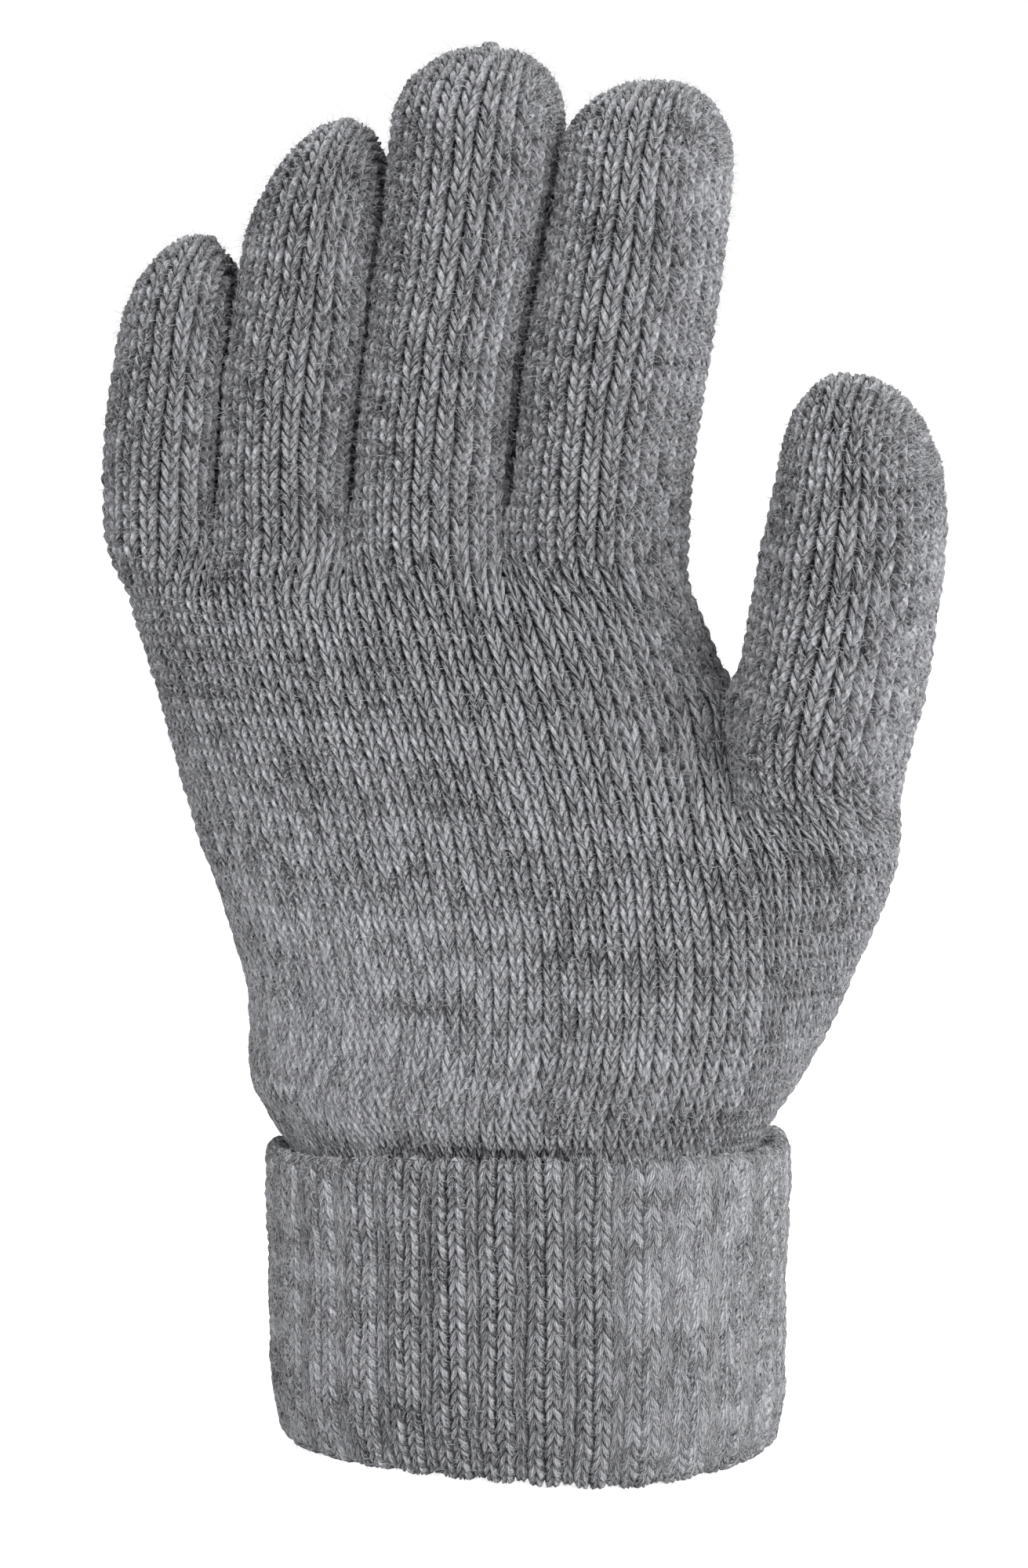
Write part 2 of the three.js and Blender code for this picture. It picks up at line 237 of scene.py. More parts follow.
def thumb_share(z, count):
    """The thumb's wales are narrow at the wrist and full width at the thumb's crotch."""
    wale = (np.arange(count) + 0.5) / TABLE_WALES
    start = HALF_SIDE + PALM_FRONT
    inside = (wale > start) & (wale < HAND_RING - start)
    return np.where(inside, through(HAND_LEVELS, THUMB_WALE_WEIGHT, z), 1.0)


HAND_TABLE = section_table(
    HAND_LEVELS,
    (HAND_LEFT, HAND_RIGHT, HAND_DEEP, GUSSET_FORWARD),
    HAND_RING,
    thumb_share,
)
PALM_TABLE = section_table(
    PALM_LEVELS,
    (
        PALM_LEFT,
        PALM_RIGHT,
        through(HAND_LEVELS, HAND_DEEP, np.array(PALM_LEVELS)),
        np.zeros(len(PALM_LEVELS)),
    ),
    PALM_RING,
)


def look_up(source, z, wale):
    """Points in a section table at heights z and ring wales, by straight interpolation."""
    first, table = source
    r = np.clip((z - first) / TABLE_STEP, 0, table.shape[0] - 1.001)
    c = np.clip(wale * TABLE_WALES, 0, table.shape[1] - 1.001)
    r0, c0 = r.astype(int), c.astype(int)
    rt, ct = (r - r0)[..., None], (c - c0)[..., None]
    low = mix(table[r0, c0], table[r0, c0 + 1], ct)
    high = mix(table[r0 + 1, c0], table[r0 + 1, c0 + 1], ct)
    point = mix(low, high, rt)
    point[..., 2] = z
    return point


def hinge_names(name):
    """A digit's hinges, from the hand outwards."""
    if name == "thumb":
        return ("thumb_base_bend", "thumb_tip_bend")
    return (f"{name}_knuckle_bend", f"{name}_middle_bend", f"{name}_tip_bend")


def digit_line(name):
    """The digit's centre line: its hinges and the top of its tip, from the frame."""
    points = [HINGE[h] for h in hinge_names(name)]
    tip_node = "thumb_thumbtip" if name == "thumb" else f"{name}_fingertip"
    low, high = node_box(tip_node)
    top = low + high - points[-1]  # the tip's middle is halfway from the last hinge to here
    return np.array([*points, [top[0], top[1], high[2]]])


LINE = {name: digit_line(name) for name in TUBE}


def centre_line(name, z):
    """Position and slope of the centre line at heights z; straight below the first hinge."""
    line = LINE[name]
    base = line[0, 2]
    inside = np.maximum(z, base)
    place, slope = [], []
    for axis in (0, 1):
        curve = np.polyfit(line[:, 2] - base, line[:, axis], len(line) - 1)
        rate = np.polyder(curve)
        lean = np.polyval(rate, inside - base)
        place.append(np.polyval(curve, inside - base) + (z - inside) * lean)
        slope.append(lean)
    return place[0], place[1], slope[0], slope[1]


def ring_count(name):
    """Wales round a digit."""
    return 2 * FRONT[name] + 2 * SIDE


def crown_start(name):
    """Height at which a digit begins to close."""
    return LINE[name][-1, 2] - TUBE[name]["crown"]


def crown_courses(name):
    """Courses from the start of the crown to its seam: a quarter of an ellipse."""
    crown, deep = TUBE[name]["crown"], TUBE[name]["deep"][-1]
    return math.pi / 4 * math.sqrt(2 * (crown**2 + deep**2)) / COURSE


def tube(name, wale, z):
    """A digit's tube and its gathered crown, at ring wales and heights z up the centre."""
    size = TUBE[name]
    top = crown_start(name)
    body = np.minimum(z, top)
    x, y, lean_x, lean_y = centre_line(name, body)
    levels = (LINE[name][0, 2], LINE[name][1, 2], top)
    wide = through(levels, size["wide"], body)
    deep = through(levels, size["deep"], body)
    turn = math.pi + 2 * math.pi * wale / ring_count(name)
    c, s = np.cos(turn), np.sin(turn)
    over = np.clip((z - top) / (crown_courses(name) * COURSE), 0, 1) * math.pi / 2
    power = CROWN_POWER[name]
    rise = size["crown"] * (1 - (CROWN_EDGE * np.abs(c)) ** power) ** (1 / power)
    across = wide * c * (1 - CROWN_PULL * (1 - np.cos(over)))
    depth = deep * s * np.cos(over)
    lift = (rise + CROWN_TILT[name] * across) * np.sin(over)
    axis = np.stack([lean_x, lean_y, np.ones_like(lean_x)], -1)
    axis = axis / np.linalg.norm(axis, axis=-1, keepdims=True)
    sideways = np.stack([np.ones_like(lean_x), 0 * lean_x, -lean_x], -1)
    sideways = sideways / np.linalg.norm(sideways, axis=-1, keepdims=True)
    back = np.cross(axis, sideways)
    centre = np.stack([x, y, body], -1)
    return (
        centre
        + sideways * across[..., None]
        + back * depth[..., None]
        + axis * lift[..., None]
    )


NEIGHBOURS = {
    "little": (None, "ring"),
    "ring": ("little", "middle"),
    "middle": ("ring", "index"),
    "index": ("middle", None),
    "thumb": (None, None),
}


def press(name, point, z):
    """Fingers lie against each other: neither passes the plane where two tubes meet."""
    left, right = NEIGHBOURS[name]
    x = point[..., 0].copy()
    for other, side in ((left, -1), (right, 1)):
        if other is None:
            continue
        a, b = (name, other) if side > 0 else (other, name)
        top = min(crown_start(a), crown_start(b)) + CONTACT_ABOVE
        level = np.minimum(z, top)
        xa, xb = centre_line(a, level)[0], centre_line(b, level)[0]
        meet = (xa + TUBE[a]["wide"][1] + xb - TUBE[b]["wide"][1]) / 2 - side * FINGER_GAP
        away = (meet - x) * side
        soft = CONTACT_SOFT * np.logaddexp(0, away / CONTACT_SOFT)
        x = mix(meet - side * soft, x, smooth((z - top - CONTACT_CLEAR) / CONTACT_EASE))
    point = point.copy()
    point[..., 0] = x
    return point


def corners(name):
    """Ring wales of a tube's four corners: front left, front right, back right, back left."""
    n = FRONT[name]
    return HALF_SIDE, HALF_SIDE + n, HALF_SIDE + n + SIDE, HALF_SIDE + 2 * n + SIDE


def full(value, like):
    """One value at every place of an array like another."""
    return np.full(np.shape(like), float(value))


def finger_web(left, right, z):
    """Front and back ends of the web between two neighbouring fingers."""
    ends = []
    for a, b in ((corners(left)[1], corners(right)[0]), (corners(left)[2], corners(right)[3])):
        ends.append((tube(left, full(a, z), z) + tube(right, full(b, z), z)) / 2)
    front, back = ends
    front[..., 1] -= WEB_FORWARD
    return front, back


def thumb_web(z):
    """Front and back ends of the web between the palm and the thumb."""
    palm_front = look_up(PALM_TABLE, z, full(HALF_SIDE + PALM_FRONT, z))
    palm_back = look_up(PALM_TABLE, z, full(HALF_SIDE + PALM_FRONT + SIDE, z))
    front = (palm_front + tube("thumb", full(corners("thumb")[0], z), z)) / 2
    back = (palm_back + tube("thumb", full(corners("thumb")[3], z), z)) / 2
    return front, back


def towards_web(point, wale, edges, whole, web, hold):
    """Draws a tube's wales into the web on one side: the side's own wales lie on the web.

    edges are the ring wales of the front and back corner of that side, and whole the
    tube's points at those corners.
    """
    low, high = edges
    front, back = web
    share = np.clip((wale - low) / (high - low), 0, 1)[..., None]
    inside = (wale >= low) & (wale <= high)
    lying = mix(front, back, share)
    off_front = np.exp(-(((wale - low) / WEB_REACH) ** 2))[..., None] * (front - whole[0])
    off_back = np.exp(-(((wale - high) / WEB_REACH) ** 2))[..., None] * (back - whole[1])
    drawn = point + off_front + off_back
    return mix(point, np.where(inside[..., None], lying, drawn), hold[..., None])


def course_height(wale, course):
    """Height of a course: level at the wrist, and following the finger crotches above."""
    crotches = [HALF_SIDE + FIRST_WALE[name] for name in FINGERS[1:]]
    marks = (0, *crotches, HALF_SIDE + PALM_FRONT)
    lift = np.interp(wale, marks, CROTCH_LIFT)
    risen = smooth((course - LIFT_COURSE) / (HAND_COURSES - LIFT_COURSE))
    return WRIST_Z + COURSE * course + lift * risen


def palm_wale(name, wale):
    """Ring wale on the palm that continues down from a finger's ring wale."""
    n, first = FRONT[name], FIRST_WALE[name]
    front = HALF_SIDE + first
    back = HALF_SIDE + PALM_FRONT + SIDE + PALM_FRONT - first - n
    ends = (front, front + n, back, back + n)
    first_place, last_place = (0.0, PALM_RING) if name == "little" else (front, back + n)
    marks = (0.0, *corners(name), float(ring_count(name)))
    return np.interp(wale, marks, (first_place, *ends, last_place))


def hand_wale(palm):
    """Ring wale at the wrist that continues down from a palm ring wale."""
    return np.where(palm <= HALF_SIDE + PALM_FRONT, palm, palm + HAND_RING - PALM_RING)


def finger_skin(name, wale, course):
    """The hand's surface along a finger's wales, from the wrist to the fingertip."""
    wale, course = np.broadcast_arrays(wale, course)
    low = palm_wale(name, wale)
    front_side = np.where(low > PALM_RING / 2, PALM_RING - low, low)
    z = course_height(front_side, course)
    wrist = look_up(HAND_TABLE, z, hand_wale(low))
    palm = look_up(PALM_TABLE, z, low)
    parted = smooth((z - THUMB_PART_START) / (THUMB_CROTCH - THUMB_PART_START))
    edges = (HALF_SIDE + PALM_FRONT, HALF_SIDE + PALM_FRONT + SIDE)
    whole = [look_up(PALM_TABLE, z, full(e, z)) for e in edges]
    hold = 1 - smooth((z - THUMB_CROTCH) / WEB_DECAY)
    palm = towards_web(palm, low, edges, whole, thumb_web(z), hold)
    lower = mix(wrist, palm, parted[..., None])
    finger = press(name, tube(name, wale, z), z)
    hold = 1 - smooth((z - FINGER_CROTCH - WEB_STAND) / WEB_DECAY)
    left, right = NEIGHBOURS[name]
    a, b, c, d = corners(name)
    if right:
        whole = [press(name, tube(name, full(e, z), z), z) for e in (b, c)]
        finger = towards_web(finger, wale, (b, c), whole, finger_web(name, right, z), hold)
    if left:
        ring = ring_count(name)
        round_left = np.where(wale > ring / 2, wale - ring, wale)
        whole = [press(name, tube(name, full(e, z), z), z) for e in (d, a)]
        front, back = finger_web(left, name, z)
        finger = towards_web(finger, round_left, (d - ring, a), whole, (back, front), hold)
    risen = smooth((z - FINGER_PART_START) / (FINGER_CROTCH - FINGER_PART_START))
    return mix(lower, finger, risen[..., None])


def thumb_skin(wale, course):
    """The hand's surface along the thumb's wales, from the wrist to the thumb's tip."""
    wale, course = np.broadcast_arrays(wale, course)
    z = WRIST_Z + COURSE * course
    low = HALF_SIDE + PALM_FRONT + (wale - HALF_SIDE)
    wrist = look_up(HAND_TABLE, z, low)
    thumb = tube("thumb", wale, z)
    ring = ring_count("thumb")
    a, _, _, d = corners("thumb")
    round_left = np.where(wale > ring / 2, wale - ring, wale)
    whole = [tube("thumb", full(e, z), z) for e in (d, a)]
    front, back = thumb_web(z)
    hold = 1 - smooth((z - THUMB_CROTCH) / WEB_DECAY)
    left_edges = (d - ring, a)
    thumb = towards_web(thumb, round_left, left_edges, whole, (back, front), hold)
    parted = smooth((z - THUMB_PART_START) / (THUMB_CROTCH - THUMB_PART_START))
    return mix(wrist, thumb, parted[..., None])


LUMPS = ((40, 14.0, 0.45), (50, 2.9, 0.26))  # noise seed, size and height
LUMP_SHIFT = 9.0

# Gathers at the front: place across at GATHER_LEVEL, half width, depth and lean.
GATHERS = ((-19.0, 3.2, 1.5, 0.10), (9.0, 4.0, 2.0, 0.22), (31.0, 5.0, 1.0, 0.30))
GATHER_LEVEL = 66
GATHER_FOOT = 54
GATHER_RISE = 10
GATHER_TOP = 96
GATHER_FADE = 22


def lumps(point):
    """Soft unevenness of a filled-out knit, and the gathers that rise out of the cuff."""
    for seed, size, high in LUMPS:
        x, y, z = (point[..., k] / size for k in range(3))
        noise = [value_noise(seed + k, x, y + LUMP_SHIFT, z) for k in range(3)]
        point = point + high * np.stack(noise, -1)
    x, y, z = point[..., 0], point[..., 1], point[..., 2]
    near = smooth((GATHER_TOP - z) / GATHER_FADE) * smooth((z - GATHER_FOOT) / GATHER_RISE) * (y < 0)
    for place, wide, deep, lean in GATHERS:
        middle = place + lean * (z - GATHER_LEVEL)
        y = y + deep * near * np.exp(-(((x - middle) / wide) ** 2))
    return np.stack([x, y, z], -1)


def skin(name, wale, course):
    """The glove's surface under its stitches, along any digit's wales."""
    if name == "thumb":
        return lumps(thumb_skin(wale, course))
    return lumps(finger_skin(name, wale, course))


# Stitches ------------------------------------------------------------------------------

COLUMNS = 8  # mesh columns to a wale
ROWS = np.array([0.0, 0.14, 0.32, 0.5, 0.68, 0.86])  # mesh rows to a course
SHEAR = 1.2  # courses that a leg climbs from the middle of a wale to its edge
LEG_BOW = 0.05
LEG_HEIGHT = 1.6
LEG_SINK = 0.62  # share of a leg's height that lies under the surface
LEG_ENDS = (0.12, 0.88)  # where along its swell a leg starts and stops
LEG_SWELL = 0.8
LEG_VARY = 0.3
WALE_GROOVE = 1.2
NUDGE = 0.02
TINY = 1e-6

# Crispness: heights and places across over which the knit goes from felted to crisp.
CRISP_FOOT = 71
CRISP_RISE = 90
CRISP_LEFT = -40
CRISP_ACROSS = 70
CRISP_AT_WRIST = 0.26
CRISP_AT_RIGHT = 0.44  # added on the thumb's side


def leg_climb(x):
    """How far a leg has climbed at x, from 0 in the middle of the wale to 1 at its edge."""
    return SHEAR * (x + LEG_BOW * np.sin(math.pi * x))


def leg_relief(x, p):
    """Height of a leg: rounded across, tapered towards both of its ends."""
    t = 2 * p - 1
    rounded = np.sqrt(np.clip(1 - t * t, 0, 1))
    along = np.sin(math.pi * mix(*LEG_ENDS, x)) ** LEG_SWELL
    return LEG_HEIGHT * (rounded * along - LEG_SINK) - WALE_GROOVE * x**5


def knit_strength(point):
    """How clearly the stitches stand: crisp on the digits, flat and felted near the wrist."""
    z, x = point[..., 2], point[..., 0]
    up = smooth((z - CRISP_FOOT) / CRISP_RISE)
    right = smooth((x - CRISP_LEFT) / CRISP_ACROSS)
    return mix(CRISP_AT_WRIST + CRISP_AT_RIGHT * right, 1.0, up)


MAP_EDGES = (0.01, 0.99)  # of the even map


class Grid:
    """A sheet of mesh: points in rows and columns, its stitch coordinates and crispness."""

    def __init__(self, points, across, along, normals, crisp):
        self.points, self.across, self.along = points, across, along
        self.normals, self.crisp = normals, crisp


def strip_columns(first, last):
    """Ring wales of a strip's mesh columns."""
    count = int(round((last - first) * COLUMNS))
    return first + np.arange(count + 1) / COLUMNS


def mesh_rows(first, last):
    """Where the mesh rows lie, in courses, from one course to another."""
    return np.concatenate([c + ROWS for c in range(first, last)] + [[float(last)]])


def outward(side, rise):
    """Unit normals from differences across and up a sheet."""
    normal = np.cross(side, rise)
    return normal / np.maximum(np.linalg.norm(normal, axis=-1, keepdims=True), 1e-9)


def knit_grid(strips, first, last, seed):
    """Stitches over strips of (digit, first wale, last wale), from course to course."""
    phases = mesh_rows(first, last)
    parts = []
    normals = []
    crisps = []
    across = []
    offset = float(FIRST_WALE.get(strips[0][0], PALM_FRONT)) if len(strips) == 1 else 0.0
    for k, (name, low, high) in enumerate(strips):
        wale = strip_columns(low, high)
        keep = slice(1 if k else 0, None)
        x = np.abs(2 * ((wale + 0.5) % 1.0) - 1)
        course = phases[:, None] + leg_climb(x)[None, :]
        lane = np.broadcast_to(wale, course.shape)
        point = skin(name, lane, course)
        side = skin(name, np.minimum(lane + NUDGE, high), course)
        side = side - skin(name, np.maximum(lane - NUDGE, low), course)
        rise = skin(name, lane, course + NUDGE * 4) - skin(name, lane, course - NUDGE * 4)
        normal = outward(side, rise)
        leg = np.floor(2 * (wale + 0.5))
        row = np.floor(phases + TINY)
        vary = value_noise(seed, row[:, None] + 0.5, leg[None, :] + 0.5)
        height = leg_relief(x[None, :], (phases % 1.0)[:, None])
        crisp = knit_strength(point)
        height = height * crisp * (1 + LEG_VARY * vary)
        parts.append((point + normal * height[..., None])[:, keep])
        normals.append(normal[:, keep])
        crisps.append(crisp[:, keep])
        across.append((wale - low + offset)[keep])
        offset += high - low
    points = np.concatenate(parts, axis=1)
    across = np.concatenate(across)
    across, along = np.meshgrid(2 * (across + 0.5), phases)
    normals, crisps = np.concatenate(normals, axis=1), np.concatenate(crisps, axis=1)
    return Grid(points, across, along, normals, crisps)


def new_mesh(name, points, faces):
    """A smooth mesh from points and from faces that all have the same number of sides."""
    mesh = bpy.data.meshes.new(name)
    mesh.vertices.add(points.size // 3)
    mesh.vertices.foreach_set("co", (points * MM).astype(np.float32).ravel())
    mesh.loops.add(faces.size)
    mesh.loops.foreach_set("vertex_index", faces.astype(np.int32).ravel())
    mesh.polygons.add(len(faces))
    starts = np.arange(0, faces.size, faces.shape[1], dtype=np.int32)
    mesh.polygons.foreach_set("loop_start", starts)
    mesh.polygons.foreach_set("use_smooth", np.ones(len(faces), bool))
    return mesh


def new_piece(name, mesh, material):
    """Puts a finished mesh in the scene."""
    mesh.update()
    mesh.validate()
    piece = bpy.data.objects.new(name, mesh)
    bpy.context.scene.collection.objects.link(piece)
    mesh.materials.append(material)
    return piece


def add_grid(name, grid, material, flip=False):
    """A mesh piece from a grid, with its stitch coordinates and one even map for baking."""
    rows, columns = grid.points.shape[:2]
    index = np.arange(rows * columns).reshape(rows, columns)
    quads = np.stack([index[:-1, :-1], index[:-1, 1:], index[1:, 1:], index[1:, :-1]], -1)
    quads = quads.reshape(-1, 4)
    if flip:
        quads = quads[:, ::-1]
    mesh = new_mesh(name, grid.points, quads)
    even = np.meshgrid(np.linspace(*MAP_EDGES, columns), np.linspace(*MAP_EDGES, rows))
    for layer, (u, v) in (("Stitch", (grid.across, grid.along)), ("OFBake", even)):
        pair = np.stack([u, v], -1).reshape(-1, 2)[quads.ravel()]
        made = mesh.uv_layers.new(name=layer)
        made.data.foreach_set("uv", pair.astype(np.float32).ravel())
    crisp = mesh.attributes.new("Crispness", "FLOAT", "POINT")
    crisp.data.foreach_set("value", grid.crisp.astype(np.float32).ravel())
    return new_piece(name, mesh, material)


# Cuff ----------------------------------------------------------------------------------

RIB_REPEATS = 28
CUFF_COLUMNS = 6
PURL_COLUMNS = 4
RIB_WALES = 2
PURL_SHARE = 0.7  # width of the purl gap beside a full wale
RIB_WIDTH = RIB_WALES + PURL_SHARE
RIB_GROOVE = 0.6
CUFF_CRISP = 0.85
CUFF_SQUARE = 0.86
CUFF_NUDGE = 0.2
CUFF_RELIEF = 0.85
CUFF_VARY = 0.2
RIB_CREST = 0.4  # wales over which the rib rises from a purl gap
PURL_RELIEF = 0.5
REPEAT_STEP = 40  # legs between two repeats in the noise
CUFF_FELTED = 0.5  # crispness at the cuff's two sides
FELT_MIDDLE = 2
FELT_HALF = 34
FELT_EASE = 22
CUFF_SWAY = 0.7
CUFF_ROUGH = 0.3
CUFF_FLARE = 0.8
FLARE_FROM = 34
FLARE_RISE = 26
CUFF_TUCK = 1.6  # how far the wall draws in towards the fold
TUCK_RISE = 14
CORNER_LIFT = 3.0  # how far the fold rises at the thumb's side
CORNER_FROM = 20
CORNER_WIDE = 26
CORNER_RISE = 10
CUFF_TILT = 0.6
RIB_DRIFT = 0.35
RIB_WANDER = 0.3
RESTING = 0.05  # nothing lies lower than this above the floor
CUFF_COURSE = 2.25
CUFF_WIDE = 47.0
CUFF_DEEP = 27.0
CUFF_MIDDLE = -0.7
CUFF_TOP = 59.6
CUFF_SLOPE = 5.4  # the turn-up is folded lower on the little finger's side
SLOPE_FROM = 12
SLOPE_WIDE = 64
LIP = 2.2  # radius of the rolled lip
LIP_TUCK = 4.0
LIP_DOWN = 2  # how far the lip's own piece reaches down the wall
FOLD = 3.2  # radius of the fold that the cuff stands on
LIP_TURN = math.pi * LIP
FOLD_TURN = math.pi * FOLD
OUTER_RUN = CUFF_TOP - LIP - FOLD
SLEEVE_RUN = 56.0


def cuff_path(t):
    """The turn-up in profile, t millimetres from inside its lip: outward shift and height."""
    over = np.clip((t - LIP_TUCK) / LIP, 0, math.pi)
    down = np.clip(t - LIP_TUCK - LIP_TURN, 0, OUTER_RUN)
    under = np.clip((t - LIP_TUCK - LIP_TURN - OUTER_RUN) / FOLD, 0, math.pi)
    up = np.maximum(t - LIP_TUCK - LIP_TURN - OUTER_RUN - FOLD_TURN, 0)
    tuck = np.clip(LIP_TUCK - t, 0, LIP_TUCK)
    out = -LIP * (1 + np.cos(over)) - FOLD * (1 - np.cos(under))
    z = CUFF_TOP - LIP - tuck + LIP * np.sin(over) - down - FOLD * np.sin(under) + up
    return out, z


def cuff_oval(turn, wide, deep):
    """The cuff's outline, seen from above."""
    c, s = np.cos(turn), np.sin(turn)
    x = wide * np.sign(c) * np.abs(c) ** CUFF_SQUARE
    y = deep * np.sign(s) * np.abs(s) ** CUFF_SQUARE
    return x, y


def cuff_turn(repeat):
    """Angle round the cuff of a repeat: the repeats are evenly long."""
    turn = np.linspace(math.pi - 1, 3 * math.pi + 1, 2001)
    x, y = cuff_oval(turn, CUFF_WIDE, CUFF_DEEP)
    run = np.concatenate([[0.0], np.cumsum(np.hypot(np.diff(x), np.diff(y)))])
    start, end = np.interp((math.pi, 3 * math.pi), turn, run)
    return np.interp(start + (end - start) * repeat / RIB_REPEATS, run, turn)


def cuff_place(repeat, t):
    """Base surface of the cuff: repeats round from the left, t from inside the lip."""
    out, z = cuff_path(t)
    turn = cuff_turn(repeat)
    c, s = np.cos(turn), np.sin(turn)
    sway = value_noise(61, 2.2 * c + 7, 1.6 * s + 5, z / 24.0)
    flare = CUFF_FLARE * smooth((z - FLARE_FROM) / FLARE_RISE)
    flare = flare - CUFF_TUCK * smooth((TUCK_RISE - z) / TUCK_RISE)
    rough = CUFF_ROUGH * value_noise(64, repeat * 2.9, z / 3.4)
    grown = out + flare + CUFF_SWAY * sway + rough
    x, y = cuff_oval(turn, CUFF_WIDE + grown, CUFF_DEEP + grown)
    x = x + CUFF_MIDDLE
    tilt = CUFF_TILT * value_noise(62, 2.6 * c + 3, 2.0 * s + 8, z / 60.0) * smooth(z / 20)
    tilt = tilt - CUFF_SLOPE * smooth((SLOPE_FROM - x) / SLOPE_WIDE) * smooth(z / CUFF_TOP)
    corner = smooth((x - CORNER_FROM) / CORNER_WIDE)
    tilt = tilt + CORNER_LIFT * corner * smooth((CORNER_RISE - z) / CORNER_RISE)
    drift = RIB_DRIFT * value_noise(63, repeat * 1.7, z / 9.0)
    drift = drift + RIB_WANDER * value_noise(65, repeat * 2.3, z / 3.1)
    return np.stack([x + drift * -s, y + drift * c, z + tilt], -1)


def rib_columns():
    """Across one repeat: where each mesh column lies."""
    wale_part = np.linspace(0, 1, CUFF_COLUMNS + 1)[:-1]
    purl_part = RIB_WALES + PURL_SHARE * np.linspace(0, 1, PURL_COLUMNS + 1)[:-1]
    return np.concatenate([wale_part, 1 + wale_part, purl_part]) / RIB_WIDTH


def cuff_grid(first, last, seed):
    """Ribbed stitches between two courses, counted from inside the lip."""
    repeat = (np.arange(RIB_REPEATS)[:, None] + rib_columns()[None, :]).ravel()
    repeat = np.append(repeat, RIB_REPEATS)
    unit = (repeat % 1.0) * RIB_WIDTH
    purl = unit > RIB_WALES + TINY
    stitch = np.where(purl, (unit - RIB_WALES) / PURL_SHARE, unit % 1.0)
    x = np.abs(2 * stitch - 1)
    phases = mesh_rows(first, last)
    course = phases[:, None] + leg_climb(x)[None, :]
    lane = np.broadcast_to(repeat, course.shape)
    t = course * CUFF_COURSE
    point = cuff_place(lane, t)
    side = cuff_place(lane + NUDGE, t) - cuff_place(lane - NUDGE, t)
    rise = cuff_place(lane, t - CUFF_NUDGE) - cuff_place(lane, t + CUFF_NUDGE)
    normal = outward(side, rise)
    crest = np.clip(np.minimum(unit, RIB_WALES - unit), 0, 1)
    ridge = np.where(purl, 0.0, smooth(crest / RIB_CREST))
    leg = np.floor(2 * unit + REPEAT_STEP * np.floor(repeat))
    row = np.floor(phases + TINY)
    vary = value_noise(seed, row[:, None] + 0.5, leg[None, :] + 0.5)
    height = CUFF_RELIEF * leg_relief(x[None, :], (phases % 1.0)[:, None]) * (1 + CUFF_VARY * vary)
    height = height * mix(PURL_RELIEF, 1.0, ridge)[None, :] + RIB_GROOVE * (ridge[None, :] - 1)
    inside = FELT_HALF - np.abs(point[..., 0] - FELT_MIDDLE)
    felted = mix(CUFF_FELTED, 1.0, smooth(inside / FELT_EASE))
    height = height * felted
    points = point + normal * height[..., None]
    points[..., 2] = np.maximum(points[..., 2], RESTING)
    total = np.floor(repeat) * (RIB_WALES + 1) + np.where(purl, RIB_WALES + stitch, unit)
    total[-1] = RIB_REPEATS * (RIB_WALES + 1)
    across, along = np.meshgrid(2 * total, -phases)
    return Grid(points, across, along, normal, CUFF_CRISP * felted)


# Fuzz ----------------------------------------------------------------------------------

FUZZ_PER_CM2 = 55
FUZZ_LONG = 2.1
FUZZ_WIDE = 0.065
FUZZ_TAPER = 2.6
FUZZ_CURL = 0.35
FUZZ_BURIED = 0.15
FUZZ_SEED = 101
FUZZ_SIDES = 3
FUZZ_POINTS = 2 * FUZZ_SIDES + 1  # a ring at the root, a ring halfway and the tip


